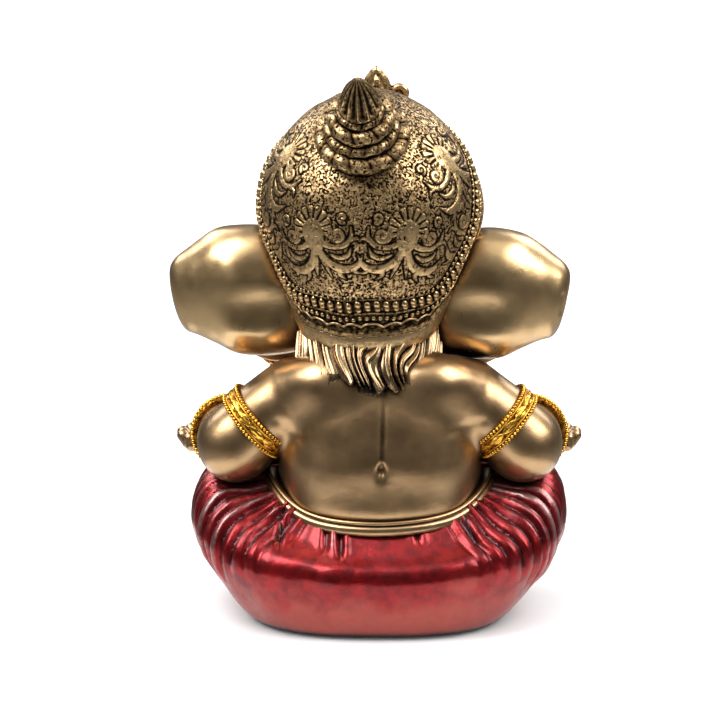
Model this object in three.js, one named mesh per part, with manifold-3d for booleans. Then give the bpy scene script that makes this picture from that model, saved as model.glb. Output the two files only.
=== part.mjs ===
// A seated baby Ganesha figure, cast in sections that are pinned and glued together.
// Millimetres, +Z up, the face looks towards -Y, and the origin is the middle of the base's underside.
import * as THREE from "three";
import { mergeVertices } from "three/addons/utils/BufferGeometryUtils.js";
import Module from "manifold-3d";

const wasm = await Module();
wasm.setup();

// ---------- driving dimensions ----------
const GAP = 0.3; // glue gap between neighbouring castings
const BIG = 400; // larger than the figure, for half spaces
const FINENESS = 0.5; // share of each round shape's facets that is kept

const BASE = { halfWidth: 33, halfDepth: 29, thickness: 1.5 };
const HEAD = { x: 3, y: 5, z: 116, turn: -5 }; // centre of the crown's dome, and its turn in degrees
const CAP_WALL = 2.2;
const BORDER = { width: 3.8, proud: 1.1 };
const KNOB = { tilt: 44, seat: 32 }; // degrees back from vertical, and distance from the dome's centre
const BAND_HEIGHT = 2.4;

const SHOULDER = { x: 26, y: 9.5, z: 61, r: 12 };
const ARMLET = { x: 34.5, y: 9, z: 56, r: 10.4 };
const ELBOW = { x: 42, y: 8.5, z: 50.5, r: 10.8 };
const WRIST = { x: 43.2, y: -15, z: 47, r: 10 };
const PALM = { x: 45.5, y: -25, z: 43.5 };
const KNEE = { x: 38.5, y: -20, z: 26, r: 12 };
const ANKLE = { x: 9.5, y: -31, z: 12.5, r: 6.6 };

// The dome's outline: radius at each height above its centre.
const DOME = [
  [18.6, -36.4], [19.8, -32.5], [21.7, -26], [24.8, -20.4], [28.3, -12], [30.6, -5], [31.4, 1],
  [30.4, 9], [27, 17], [20.9, 25.5], [14, 30], [7, 32.7], [1.5, 33.6],
];
const DOME_RADIUS = 31.4;
// The crown's lower edge, seen from the side: distance behind the head's centre and height.
const CROWN_EDGE = [
  [40, -36], [20, -35.6], [13, -34.4], [8, -32], [3.8, -27.5], [0.5, -20.5], [-2, -11],
  [-6, 2], [-15, 12], [-27, 16], [-44, 17],
];
const EDGE_STEPS = 16;
// The seat's outline: half width, half depth and middle at each height. Its top dips towards the waistband.
const SEAT = [
  [0.3, 36, 33, 2], [3, 40, 35.5, 2.5], [9, 45.4, 37, 3], [17, 50.6, 38, 3.5], [25, 52.9, 37, 3],
  [30, 52.9, 34.5, 1.5], [34, 51.9, 31.5, 0], [38, 49.4, 28, -1], [41.5, 44.5, 24, -2], [43, 38, 18, -3],
];
const SEAT_TOP = SEAT[SEAT.length - 1][0];
const SEAT_DIP = 5.6;
// The waistband's path: an ellipse about y, at height z behind and in front, that rises at the hips.
const WAIST = { halfWidth: 31, halfDepth: 26.5, y: 5, z: 30.7, rise: 8.5, bend: 4.5 };

// ---------- finishes ----------
function finish(color, roughness, metalness) {
  return new THREE.MeshStandardMaterial({ color, roughness, metalness });
}

const BRONZE = finish(0x8f7548, 0.35, 0.9);
const ANTIQUE = finish(0x7a6238, 0.45, 0.9);
const GOLD = finish(0xd69a1e, 0.3, 0.95);
const LACQUER = finish(0x8e1420, 0.3, 0.6);
const FELT = finish(0x22201e, 0.95, 0);
const PIN = finish(0xb08d57, 0.4, 0.8);

// ---------- solids ----------
const vec = (x, y, z) => new THREE.Vector3(x, y, z);
const facets = (count) => 2 * Math.round((count * FINENESS) / 2);
const UP = vec(0, 1, 0);

// A closed three.js geometry as a solid, with its faces turned outwards.
function solidOf(geometry) {
  const bare = new THREE.BufferGeometry();
  bare.setAttribute("position", geometry.getAttribute("position"));
  bare.setIndex(geometry.index);
  const merged = mergeVertices(bare, 1e-4);
  const make = (flip) => {
    const index = merged.index.array;
    const corners = [];
    for (let i = 0; i < index.length; i += 3) {
      const [a, b, c] = [index[i], index[i + 1], index[i + 2]];
      if (a !== b && b !== c && c !== a) corners.push(a, flip ? c : b, flip ? b : c);
    }
    const vertProperties = merged.getAttribute("position").array;
    const triVerts = new Uint32Array(corners);
    return new wasm.Manifold(new wasm.Mesh({ numProp: 3, vertProperties, triVerts }));
  };
  const solid = make(false);
  return solid.volume() > 0 ? solid : make(true);
}

const join = (...solids) => solids.reduce((all, one) => all.add(one));
const moved = (geometry, matrix) => solidOf(geometry.applyMatrix4(matrix));

// Turns the geometry's own Y axis to run from one point to another, and places it at their middle.
function between(from, to) {
  const turn = new THREE.Quaternion().setFromUnitVectors(UP, to.clone().sub(from).normalize());
  return new THREE.Matrix4().compose(from.clone().lerp(to, 0.5), turn, vec(1, 1, 1));
}

function ellipsoid(centre, radii, tiltY = 0, detail = 18) {
  const turn = new THREE.Quaternion().setFromEuler(new THREE.Euler(0, tiltY, 0));
  const sides = facets(detail);
  const shape = new THREE.SphereGeometry(1, sides, Math.round(sides * 0.6)).rotateX(Math.PI / 2);
  return moved(shape, new THREE.Matrix4().compose(centre, turn, radii));
}

const ball = (centre, r, detail = 18) => ellipsoid(centre, vec(r, r, r), 0, detail);

// A round bar with flat ends, tapering from one radius to the other.
function bar(from, fromR, to, toR, sides = 16) {
  const length = from.distanceTo(to);
  return moved(new THREE.CylinderGeometry(toR, fromR, length, facets(sides)), between(from, to));
}

// A round bar with round ends.
function finger(from, to, r) {
  return moved(new THREE.CapsuleGeometry(r, from.distanceTo(to), 2, 6), between(from, to));
}

// An outline of [radius, height] turned about Z.
function turned(outline, sides = 32) {
  const points = outline.map(([r, z]) => new THREE.Vector2(r, z));
  const first = new THREE.Vector2(0, points[0].y);
  const last = new THREE.Vector2(0, points[points.length - 1].y);
  return new THREE.LatheGeometry([first, ...points, last], facets(sides)).rotateX(Math.PI / 2);
}

// A band that follows a closed path: place(angle) gives its centre line and the way it faces.
function loop(place, halfHeight, halfThickness, steps = 36) {
  const shape = new THREE.TorusGeometry(1, 0.1, 6, facets(steps));
  const p = shape.getAttribute("position");
  for (let i = 0; i < p.count; i++) {
    const angle = Math.atan2(p.getY(i), p.getX(i));
    const out = (Math.hypot(p.getX(i), p.getY(i)) - 1) / 0.1;
    const { centre, facing, up } = place(angle);
    const at = centre
      .clone()
      .addScaledVector(facing, out * halfThickness)
      .addScaledVector(up, (p.getZ(i) / 0.1) * halfHeight);
    p.setXYZ(i, at.x, at.y, at.z);
  }
  return solidOf(shape);
}

// A round ring about the line from one point towards another.
function ring(centre, towards, radius, halfHeight, halfThickness) {
  const up = towards.clone().sub(centre).normalize();
  const side = vec(0, 1, 0).cross(up).normalize();
  const other = up.clone().cross(side);
  const place = (angle) => {
    const facing = side.clone().multiplyScalar(Math.cos(angle)).addScaledVector(other, Math.sin(angle));
    return { centre: centre.clone().addScaledVector(facing, radius), facing, up };
  };
  return loop(place, halfHeight, halfThickness, 28);
}

// A tapering tube along a smooth curve.
function taperedTube(points, radii, sides, steps) {
  const curve = new THREE.CatmullRomCurve3(points);
  const frames = curve.computeFrenetFrames(steps, false);
  const shape = new THREE.CylinderGeometry(1, 1, 1, sides, steps);
  const p = shape.getAttribute("position");
  for (let i = 0; i < p.count; i++) {
    const step = Math.round((p.getY(i) + 0.5) * steps);
    const along = (step / steps) * (radii.length - 1);
    const k = Math.min(Math.floor(along), radii.length - 2);
    const r = THREE.MathUtils.lerp(radii[k], radii[k + 1], along - k);
    const at = curve
      .getPointAt(step / steps)
      .addScaledVector(frames.normals[step], r * p.getX(i))
      .addScaledVector(frames.binormals[step], r * p.getZ(i));
    p.setXYZ(i, at.x, at.y, at.z);
  }
  return solidOf(shape);
}

// A flat outline of [across, up] points, made thick along one axis.
function plate(points, thickness) {
  const shape = new THREE.Shape(points.map(([a, b]) => new THREE.Vector2(a, b)));
  const made = new THREE.ExtrudeGeometry(shape, { depth: thickness, bevelEnabled: false });
  made.translate(0, 0, -thickness / 2);
  made.setIndex([...Array(made.getAttribute("position").count).keys()]);
  return made;
}

// ---------- the head's own frame ----------
const headGroup = new THREE.Group();
headGroup.position.set(HEAD.x, HEAD.y, HEAD.z);
headGroup.rotation.z = THREE.MathUtils.degToRad(HEAD.turn);
headGroup.updateMatrixWorld(true);
const inHead = (x, y, z) => vec(x, y, z).applyMatrix4(headGroup.matrixWorld);
const knobTilt = THREE.MathUtils.degToRad(KNOB.tilt);
const onKnob = (height) =>
  inHead(0, (KNOB.seat + height) * Math.sin(knobTilt), (KNOB.seat + height) * Math.cos(knobTilt));

const domeSolid = (grow) => {
  const scale = 1 + grow / DOME_RADIUS;
  return moved(turned(DOME.map(([r, z]) => [r * scale, z * scale]), 32), headGroup.matrixWorld);
};

// The slab behind and above the crown's edge, set back from it by a distance.
function behindEdge(distance) {
  const edge = new THREE.SplineCurve(CROWN_EDGE.map(([y, z]) => new THREE.Vector2(y, z)));
  const line = Array.from({ length: EDGE_STEPS + 1 }, (_, i) => {
    const along = edge.getTangent(i / EDGE_STEPS);
    const at = edge.getPoint(i / EDGE_STEPS);
    return [at.x + along.y * distance, at.y - along.x * distance];
  });
  const slab = plate([...line, [-44, 60], [40, 60]], 90);
  // The outline's own axes are (y, z): the plate's thickness turns to run along X.
  slab.applyMatrix4(new THREE.Matrix4().makeBasis(vec(0, 1, 0), vec(0, 0, 1), vec(1, 0, 0)));
  return moved(slab, headGroup.matrixWorld);
}

// ---------- castings ----------
// Each function gives the casting's full shape, grown outwards by g. Those listed first keep their shape.
const sided = (s) => ({
  shoulder: vec(s * SHOULDER.x, SHOULDER.y, SHOULDER.z),
  armlet: vec(s * ARMLET.x, ARMLET.y, ARMLET.z),
  elbow: vec(s * ELBOW.x, ELBOW.y, ELBOW.z),
  wrist: vec(s * WRIST.x, WRIST.y, WRIST.z),
  knee: vec(s * KNEE.x, KNEE.y, KNEE.z),
  ankle: vec(s * ANKLE.x, ANKLE.y, ANKLE.z),
});

const basePad = (g) =>
  moved(
    new THREE.CylinderGeometry(1, 1, 1, 32).rotateX(Math.PI / 2),
    new THREE.Matrix4().compose(
      vec(0, 2, BASE.thickness / 2),
      new THREE.Quaternion(),
      vec(BASE.halfWidth + g, BASE.halfDepth + g, BASE.thickness + 2 * g),
    ),
  );

function seatDip(x, y, z) {
  const { smoothstep } = THREE.MathUtils;
  const across = Math.abs(x) / WAIST.halfWidth;
  const back = (y - WAIST.y) / WAIST.halfDepth;
  const beyondBand = (Math.hypot(across, back) - 1) * WAIST.halfDepth;
  const behind = smoothstep(Math.atan2(back, across), -0.45, 0.25);
  const nearBand = 1 - smoothstep(beyondBand, 5, 16);
  return SEAT_DIP * behind * nearBand * smoothstep(z, 20, 30);
}

function seat(g) {
  const shape = turned(SEAT.map(([z, w]) => [w, z]), 40);
  const p = shape.getAttribute("position");
  for (let i = 0; i < p.count; i++) {
    const z = p.getZ(i);
    const row = SEAT.reduce((best, one) => (Math.abs(one[0] - z) < Math.abs(best[0] - z) ? one : best));
    const x = (p.getX(i) * (row[1] + g)) / row[1];
    const y = (p.getY(i) * (row[2] + g)) / row[1] + row[3];
    p.setXYZ(i, x, y, z - seatDip(x, y, z) + (g * z) / SEAT_TOP);
  }
  const thighs = [1, -1].map((s) => ellipsoid(vec(s * 34, -11, 24), vec(17 + g, 19 + g, 17.5 + g), 0, 20));
  return join(solidOf(shape), ...thighs);
}

function torso(g) {
  const trunk = [
    ellipsoid(vec(0, 8.5, 46), vec(30 + g, 26 + g, 22 + g), 0, 24),
    ellipsoid(vec(0, -3, 45), vec(25 + g, 26 + g, 20 + g), 0, 22),
    ellipsoid(vec(0, 4.5, 34), vec(31 + g, 27 + g, 14 + g), 0, 24),
    ellipsoid(vec(0, 9.5, 61), vec(27 + g, 19.5 + g, 17 + g), 0, 22),
    bar(vec(0.5, 7, 66), 16 + g, vec(1.5, 6.5, 82 + g), 13 + g, 20),
  ];
  const shoulders = [1, -1].flatMap((s) => {
    const { shoulder, armlet } = sided(s);
    const beyond = armlet.clone().sub(shoulder).setLength(g);
    const upperArm = bar(shoulder, SHOULDER.r - 0.6 + g, armlet.clone().add(beyond), ARMLET.r + g);
    return [ball(shoulder, SHOULDER.r + g), upperArm];
  });
  return join(...trunk, ...shoulders);
}

function arm(s, g) {
  const { armlet, elbow, wrist, shoulder } = sided(s);
  const back = shoulder.clone().sub(armlet).setLength(g);
  const ahead = wrist.clone().sub(elbow).setLength(g);
  return join(
    bar(armlet.clone().add(back), ARMLET.r + g, elbow, ELBOW.r + g),
    ball(elbow, ELBOW.r + g),
    ellipsoid(vec(s * (ELBOW.x - 0.4), 0, 49.4), vec(11 + g, 13 + g, 10.4 + g)),
    bar(elbow, ELBOW.r - 0.6 + g, wrist.clone().add(ahead), WRIST.r + g),
  );
}

function hand(s, g) {
  const { wrist } = sided(s);
  const palm = vec(s * PALM.x, PALM.y, PALM.z);
  const fingers = [-5.4, -1.8, 1.8, 5.2].map((along, i) => {
    const root = vec(s * (PALM.x + 5), PALM.y + along, PALM.z - 0.2);
    const tip = vec(s * (PALM.x + [8.6, 10.2, 9.8, 8][i]), PALM.y - 0.8 + along * 1.12, PALM.z + 1.6);
    return finger(root, tip, 1.9 + g);
  });
  const thumbRoot = vec(s * (PALM.x - 4), PALM.y - 5, PALM.z + 1);
  const thumbTip = vec(s * (PALM.x + 1.5), PALM.y - 8.6, PALM.z + 3.4);
  return join(
    bar(wrist.clone().add(vec(0, g, 0)), 7.6 + g, palm, 6 + g),
    ellipsoid(palm, vec(8.2 + g, 8.6 + g, 4.4 + g), 0, 14),
    finger(thumbRoot, thumbTip, 2.1 + g),
    ...fingers,
  );
}

// Keeps a piece on its own side of the figure's middle plane.
function onSide(solid, s, gapToMiddle) {
  const box = new THREE.BoxGeometry(BIG, BIG, BIG);
  return solid.intersect(moved(box, new THREE.Matrix4().makeTranslation(s * (BIG / 2 + gapToMiddle), 0, 0)));
}

function leg(s, g) {
  const { knee, ankle } = sided(s);
  const calf = knee.clone().lerp(ankle, 0.45);
  return join(
    ball(knee, KNEE.r + g, 20),
    bar(knee, KNEE.r - 0.5 + g, ankle, ANKLE.r + g),
    ellipsoid(calf, vec(15 + g, 9.8 + g, 9.8 + g), s * 0.43),
    ball(ankle, ANKLE.r + g),
  );
}

function foot(s, g) {
  const toes = [0, 1, 2, 3, 4].map((i) => {
    const r = [2.5, 1.9, 1.8, 1.7, 1.6][i];
    const z = 17.6 - 3.1 * i;
    const y = -46.6 + 1.1 * i;
    return finger(vec(s * 4, y + 4, z), vec(s * 4, y, z + 0.4), r + g);
  });
  const whole = join(
    ellipsoid(vec(s * 4.6, -37.5, 11.5), vec(4.6 + g, 9.5 + g, 7.6 + g)),
    ellipsoid(vec(s * 5.4, -30.5, 9.5), vec(5 + g, 5.6 + g, 5.8 + g)),
    ...toes,
  );
  return onSide(whole, s, GAP / 2 - g);
}

// The skull sits inside the crown's wall, and its face runs down into the neck.
function head(g) {
  return join(
    domeSolid(g - CAP_WALL),
    ellipsoid(inHead(0, -12, -10), vec(23 + g, 17 + g, 18 + g), 0, 22),
    ellipsoid(inHead(11.5, -15, -20), vec(10 + g, 10.5 + g, 11 + g)),
    ellipsoid(inHead(-11.5, -15, -20), vec(10 + g, 10.5 + g, 11 + g)),
    ellipsoid(inHead(0, -9, -29), vec(15 + g, 14.5 + g, 11 + g), 0, 20),
    ellipsoid(inHead(0, -24, -12), vec(10.5 + g, 8.5 + g, 12 + g)),
  );
}

// The trunk's middle line in the head's frame, and its radius at each point.
const TRUNK_PATH = [
  [0, -26, -13], [0, -33.4, -24], [0.6, -37, -37], [3, -38.4, -49],
  [9, -38.6, -56.5], [16, -37.6, -56], [18.6, -37, -49.5], [15.6, -37, -46],
];
const TRUNK_RADII = [10.2, 9.4, 8, 6.8, 5.8, 5, 4.3, 3.7];

function trunkOf(g) {
  const path = TRUNK_PATH.map((p) => inHead(...p));
  return taperedTube(path, TRUNK_RADII.map((r) => r + g), 10, 14);
}

const tusk = (s, g) => {
  const tip = s > 0 ? [14.5, -33.5, -37.5] : [12.2, -32.2, -33.5]; // the right tusk is the broken one
  const tipRadius = s > 0 ? 0.9 : 2;
  return bar(inHead(s * 8.4, -24.5, -25), 3.2 + g, inHead(s * tip[0], tip[1], tip[2]), tipRadius + g, 12);
};

const crownBorder = (g) =>
  domeSolid(BORDER.proud + g)
    .intersect(behindEdge(-g))
    .subtract(behindEdge(BORDER.width + g));
const crown = (g) => domeSolid(g).intersect(behindEdge(BORDER.width - g));

// A round tier of the knob, standing on the dome: an outline of [radius, height along the knob].
const tier = (outline, g) => {
  const base = onKnob(0);
  const turn = new THREE.Quaternion().setFromUnitVectors(vec(0, 0, 1), onKnob(1).sub(base));
  const grown = outline.map(([r, z], i) => [r + g, z + (i === 0 ? -g : g)]);
  return moved(turned(grown, 24), new THREE.Matrix4().compose(base, turn, vec(1, 1, 1)));
};
const knobLower = (g) => tier([[9, -5], [12.2, -0.5], [12.9, 1.6], [11.6, 4.2], [8, 6.4]], g);
const knobUpper = (g) => tier([[8.6, 6.8], [9.7, 8.6], [9.2, 10.4], [6.4, 12.8]], g);
const knobBud = (g) => tier([[5.4, 13.2], [6.5, 14.4], [6, 16.6], [3.6, 20.6], [0.5, 24.6]], g);

function crest(g) {
  const halfLeaf = [[11.5, 14], [12.5, 20], [9, 23.5], [8.2, 29.5], [7.2, 32], [3.9, 33]];
  const outline = [...halfLeaf, [0, 39], ...halfLeaf.map(([x, z]) => [-x, z]).reverse()];
  const leaf = plate(outline.map(([x, z]) => [x + Math.sign(x) * g, z + (z > 20 ? g : -g)]), 3 + 2 * g);
  // The leaf stands on the brow and leans back over the dome.
  leaf.rotateX(Math.PI / 2).rotateX(THREE.MathUtils.degToRad(-13)).translate(0, -31.5, -1);
  return moved(leaf, headGroup.matrixWorld);
}

function ear(s, g) {
  const shell = join(
    ellipsoid(inHead(s * 34, -8.5, -25), vec(19 + g, 10 + g, 18.6 + g), s * 0.12, 24),
    ellipsoid(inHead(s * 47.5, -11, -27.5), vec(9.4 + g, 7 + g, 12.2 + g), s * 0.1, 20),
    ellipsoid(inHead(s * 30, -13, -38), vec(9 + g, 5.5 + g, 8 + g)),
  );
  const cup = ellipsoid(inHead(s * 38.5, -19, -25), vec(16.5 - g, 9.5 - g, 15 - g), s * 0.12, 20);
  return shell.subtract(cup);
}

const earring = (s, g) => ellipsoid(inHead(s * 29, -15.5, -48.4), vec(4 + g, 3 + g, 4.4 + g), 0, 14);

const waistband = (g) => {
  const place = (angle) => ({
    centre: vec(
      WAIST.halfWidth * Math.cos(angle),
      WAIST.y + WAIST.halfDepth * Math.sin(angle),
      WAIST.z + WAIST.rise * Math.abs(Math.cos(angle)) ** WAIST.bend,
    ),
    facing: vec(Math.cos(angle), Math.sin(angle), 0),
    up: vec(0, 0, 1),
  });
  return loop(place, BAND_HEIGHT + g, 1.6 + g, 40);
};

const armlet = (s, g) => ring(sided(s).armlet, sided(s).elbow, ARMLET.r + 0.4, 2.8 + g, 1.3 + g);
const bracelet = (s, g) => {
  const ahead = vec(s * WRIST.x, WRIST.y - 9, WRIST.z - 1);
  return ring(sided(s).wrist, ahead, WRIST.r + 0.2, 2.6 + g, 1.4 + g);
};
const anklet = (s, g) => {
  const { knee, ankle } = sided(s);
  return ring(ankle.clone().lerp(knee, 0.16), ankle, ANKLE.r + 1.1, 1.8 + g, 1.3 + g);
};

// Hair hangs from the crown's rim over the nape, from ear to ear.
function hair(g) {
  const outline = [[19, -50 - g], [24.6, -48 - g], [23.6, -43], [20.8, -38], [19, -35.8 + g]];
  const skirt = moved(turned(outline.map(([r, z]) => [r + g, z]), 32), headGroup.matrixWorld);
  const box = new THREE.BoxGeometry(BIG, BIG, BIG);
  const rear = moved(box, new THREE.Matrix4().makeTranslation(0, HEAD.y + BIG / 2 - g, 0));
  const hem = ellipsoid(inHead(0, 22, -38), vec(26 + g, 20 + g, 12 + g), 0, 24);
  return skirt.intersect(rear).intersect(hem);
}

const necklacePlace = (angle) => ({
  centre: vec(1 + 18.5 * Math.cos(angle), 3 + 17.5 * Math.sin(angle), 70 + 5 * Math.sin(angle)),
  facing: vec(Math.cos(angle), Math.sin(angle), 0.5).normalize(),
  up: vec(0, 0, 1),
});
const necklace = (g) => loop(necklacePlace, 2 + g, 2.2 + g, 36);
const pendant = (g) => ellipsoid(vec(1, -18, 61.5), vec(4.2 + g, 2.6 + g, 5 + g), 0, 14);

const neckDowel = (g) => bar(vec(2, 5.5, 68 - g), 4 + g, vec(2, 5.5, 96 + g), 4 + g, 12);
const armDowel = (s, g) => {
  const { armlet, elbow } = sided(s);
  const half = elbow.clone().sub(armlet).setLength(7 + g);
  return bar(armlet.clone().sub(half), 2.5 + g, armlet.clone().add(half), 2.5 + g, 10);
};
const earDowel = (s, g) => {
  const [inner, outer] = [inHead(s * (16 - g), -8, -24), inHead(s * (30 + g), -8, -24)];
  return bar(inner, 2 + g, outer, 2 + g, 10);
};
const knobDowel = (g) => bar(onKnob(-7 - g), 1.6 + g, onKnob(17 + g), 1.6 + g, 10);

// ---------- assembly ----------
// Name, finish, shape and the group it belongs to. Each later casting is cut clear of every earlier one.
const both = (name, material, shape, inGroup = false) => [
  ["left_" + name, material, (g) => shape(1, g), inGroup],
  ["right_" + name, material, (g) => shape(-1, g), inGroup],
];
const CASTINGS = [
  ["neck_dowel", PIN, neckDowel, true],
  ...both("arm_dowel", PIN, armDowel),
  ...both("ear_dowel", PIN, earDowel, true),
  ["knob_dowel", PIN, knobDowel, true],
  ["base_pad", FELT, basePad, false],
  ["torso", BRONZE, torso, false],
  ["waistband", BRONZE, waistband, false],
  ["dhoti", LACQUER, seat, false],
  ...both("arm", BRONZE, arm),
  ...both("leg", BRONZE, leg),
  ...both("foot", BRONZE, foot),
  ...both("hand", BRONZE, hand),
  ["head", BRONZE, head, true],
  ["trunk", BRONZE, trunkOf, true],
  ...both("tusk", BRONZE, tusk, true),
  ["crown_border", ANTIQUE, crownBorder, true],
  ["crown_dome", ANTIQUE, crown, true],
  ["knob_lower_tier", ANTIQUE, knobLower, true],
  ["knob_upper_tier", ANTIQUE, knobUpper, true],
  ["knob_bud", ANTIQUE, knobBud, true],
  ["crown_crest", ANTIQUE, crest, true],
  ...both("ear", BRONZE, ear, true),
  ...both("earring", GOLD, earring, true),
  ["hair", BRONZE, hair, true],
  ["necklace", GOLD, necklace, false],
  ["pendant", GOLD, pendant, false],
  ...both("armlet", GOLD, armlet),
  ...both("bracelet", GOLD, bracelet),
  ...both("anklet", GOLD, anklet),
];

const boxesMeet = (a, b) => [0, 1, 2].every((i) => a.min[i] <= b.max[i] && b.min[i] <= a.max[i]);

function cutClear(solid, earlier) {
  const box = solid.boundingBox();
  const near = earlier.filter((one) => boxesMeet(box, one.boundingBox()));
  return near.reduce((left, one) => left.subtract(one), solid);
}

// The solid's largest body as a mesh, placed in its group by the middle of its box.
function meshOf(name, material, solid, group) {
  const largest = solid.decompose().sort((a, b) => b.volume() - a.volume())[0];
  const { vertProperties, triVerts } = largest.getMesh();
  const geometry = new THREE.BufferGeometry();
  geometry.setAttribute("position", new THREE.BufferAttribute(vertProperties, 3));
  geometry.setIndex(new THREE.BufferAttribute(triVerts, 1));
  geometry.applyMatrix4(group.matrixWorld.clone().invert());
  geometry.computeBoundingBox();
  const middle = geometry.boundingBox.getCenter(vec(0, 0, 0));
  geometry.translate(-middle.x, -middle.y, -middle.z);
  geometry.computeVertexNormals();
  const mesh = new THREE.Mesh(geometry, material);
  mesh.name = name;
  mesh.position.copy(middle);
  group.add(mesh);
}

const figure = new THREE.Group();
figure.add(headGroup);
const grown = [];
for (const [name, material, shape, inGroup] of CASTINGS) {
  meshOf(name, material, cutClear(shape(0), grown), inGroup ? headGroup : figure);
  grown.push(shape(GAP));
}

export default figure;
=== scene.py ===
"""The looks of a seated baby Ganesha: a cast bronze idol with an embossed crown and a red dhoti."""

import math

import bpy
import numpy as np
import openvdb
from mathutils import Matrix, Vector


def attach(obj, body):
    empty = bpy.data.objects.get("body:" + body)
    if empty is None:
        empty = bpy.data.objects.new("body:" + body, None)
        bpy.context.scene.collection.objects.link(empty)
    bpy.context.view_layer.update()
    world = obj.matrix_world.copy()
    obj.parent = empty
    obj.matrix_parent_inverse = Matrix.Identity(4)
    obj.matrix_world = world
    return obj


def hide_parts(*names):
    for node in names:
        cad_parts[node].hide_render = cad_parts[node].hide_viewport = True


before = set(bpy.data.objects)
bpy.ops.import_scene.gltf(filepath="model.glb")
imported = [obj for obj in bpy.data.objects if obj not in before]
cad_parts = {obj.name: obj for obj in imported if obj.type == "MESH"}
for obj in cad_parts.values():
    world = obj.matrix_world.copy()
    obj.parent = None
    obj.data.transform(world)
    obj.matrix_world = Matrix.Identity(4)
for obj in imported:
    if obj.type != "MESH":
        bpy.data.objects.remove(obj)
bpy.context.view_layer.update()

# Shapes are worked out in millimetres: +Z up, the face towards -Y, the figure's left towards +X.
MM = 0.001
FULL_TURN = 2 * math.pi
SIDES = ((1, "left"), (-1, "right"))  # the figure's own left and right: the sign of X and the name
PLAIN = 0.5  # the wear of plain surface

# ---------- driving dimensions ----------
# They are the CAD's, except DOME, SEAT and PALM, which follow the figure's outline more closely.
HEAD_CENTRE = np.array([3.0, 5.0, 116.0])
HEAD_TURN = math.radians(-5)
KNOB_TILT = math.radians(44)
KNOB_SEAT = 32.0
DOME = [  # the dome's outline: radius at each height above its centre
    (18.6, -36.4), (19.8, -32.5), (21.7, -26), (24.6, -20.4), (27.9, -12), (30.2, -5), (30.9, 1),
    (29.6, 9), (25.8, 17), (18.8, 25.5), (12.0, 30), (6.0, 32.6), (0, 33.5),
]
CROWN_EDGE = [  # the crown's lower edge from the side: distance behind the head's centre and height
    (20, -35.6), (13, -34.4), (8, -32), (3.8, -27.5), (0.5, -20.5), (-2, -11),
    (-6, 2), (-15, 12), (-27, 16), (-44, 17),
]
SEAT = [  # the seat's outline: height, half width, half depth and middle
    (0.3, 36.6, 32.6, 2), (3, 40.0, 34.8, 2.5), (9, 44.9, 36.5, 3), (17, 50.2, 38, 3.3),
    (21, 51.8, 38.2, 3.1), (25, 52.9, 37.2, 2.5), (30, 52.9, 34.2, 1.2), (34, 51.9, 31.5, 0),
    (38, 49.4, 28, -1), (41.5, 44.5, 24, -2), (43, 38, 18, -3),
]
SHOULDER = np.array([26.0, 9.5, 61.0])
ARMLET = np.array([34.5, 9.0, 56.0])
ELBOW = np.array([42.0, 8.5, 50.5])
WRIST = np.array([43.2, -15.0, 47.0])
PALM = np.array([46.2, -25.0, 42.7])
KNEE = np.array([38.5, -20.0, 26.0])
ANKLE = np.array([9.5, -31.0, 12.5])
ARMLET_RADIUS, WRIST_RADIUS, ANKLE_RADIUS = 10.4, 10.0, 6.6
WAIST_WIDTH, WAIST_DEPTH, WAIST_MIDDLE, WAIST_HEIGHT, WAIST_RISE = 31.0, 26.5, 5.0, 30.7, 8.5


# ---------- small maths ----------
def vec(*numbers):
    return np.array(numbers, float)


def length(v):
    return np.sqrt((v * v).sum(-1))


def unit(v):
    return v / np.maximum(length(v), 1e-9)[..., None]


def fade(x, low, high):
    """0 below low, 1 above high and smooth between them."""
    t = np.clip((x - low) / (high - low), 0, 1)
    return t * t * (3 - 2 * t)


def mirrored(point, side):
    return point * vec(side, 1, 1)


def spline(points, count, closed=False):
    """A smooth curve through the points, sampled at even distances."""
    p = np.array(points, float)
    n = len(p)
    spans = n if closed else n - 1
    if closed:
        at = lambda i: p[i % n]
    else:
        padded = np.vstack([2 * p[0] - p[1], p, 2 * p[-1] - p[-2]])
        at = lambda i: padded[i + 1]
    t = np.linspace(0, spans, spans * 24 + 1)
    k = np.minimum(t.astype(int), spans - 1)
    f = (t - k)[:, None]
    a, b, c, d = at(k - 1), at(k), at(k + 1), at(k + 2)
    dense = 0.5 * (
        2 * b + (c - a) * f + (2 * a - 5 * b + 4 * c - d) * f**2 + (3 * b - a - 3 * c + d) * f**3
    )
    along = np.concatenate([[0], np.cumsum(length(np.diff(dense, axis=0)))])
    wanted = np.linspace(0, along[-1], count, endpoint=not closed)
    return np.stack([np.interp(wanted, along, dense[:, i]) for i in range(p.shape[1])], -1)


def spread_out(values, count):
    """The values, read off at evenly spaced places along them."""
    return np.interp(np.linspace(0, 1, count), np.linspace(0, 1, len(values)), values)


def around_circle(count):
    """Evenly spaced angles once round."""
    return np.linspace(0, FULL_TURN, count, endpoint=False)


def chance(ix, iy, iz, seed):
    """A fixed random number from 0 to 1 for each whole-number place."""
    mask = 0xFFFFFFFF
    h = (ix * 374761393 + iy * 668265263 + iz * 1442695041 + seed * 97463477) & mask
    h = ((h ^ (h >> 13)) * 1274126177) & mask
    return ((h ^ (h >> 16)) & 0xFFFF) / 65535.0


def noise(p, size, seed=0):
    """Smooth noise from -1 to 1, with features of about the given size."""
    q = p / size
    base = np.floor(q).astype(np.int64)
    f = q - base
    f = f * f * (3 - 2 * f)
    total = 0
    for dx, dy, dz in np.ndindex(2, 2, 2):
        weight = abs(1 - dx - f[..., 0]) * abs(1 - dy - f[..., 1]) * abs(1 - dz - f[..., 2])
        corner = chance(base[..., 0] + dx, base[..., 1] + dy, base[..., 2] + dz, seed)
        total = total + weight * corner
    return total * 2 - 1


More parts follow.
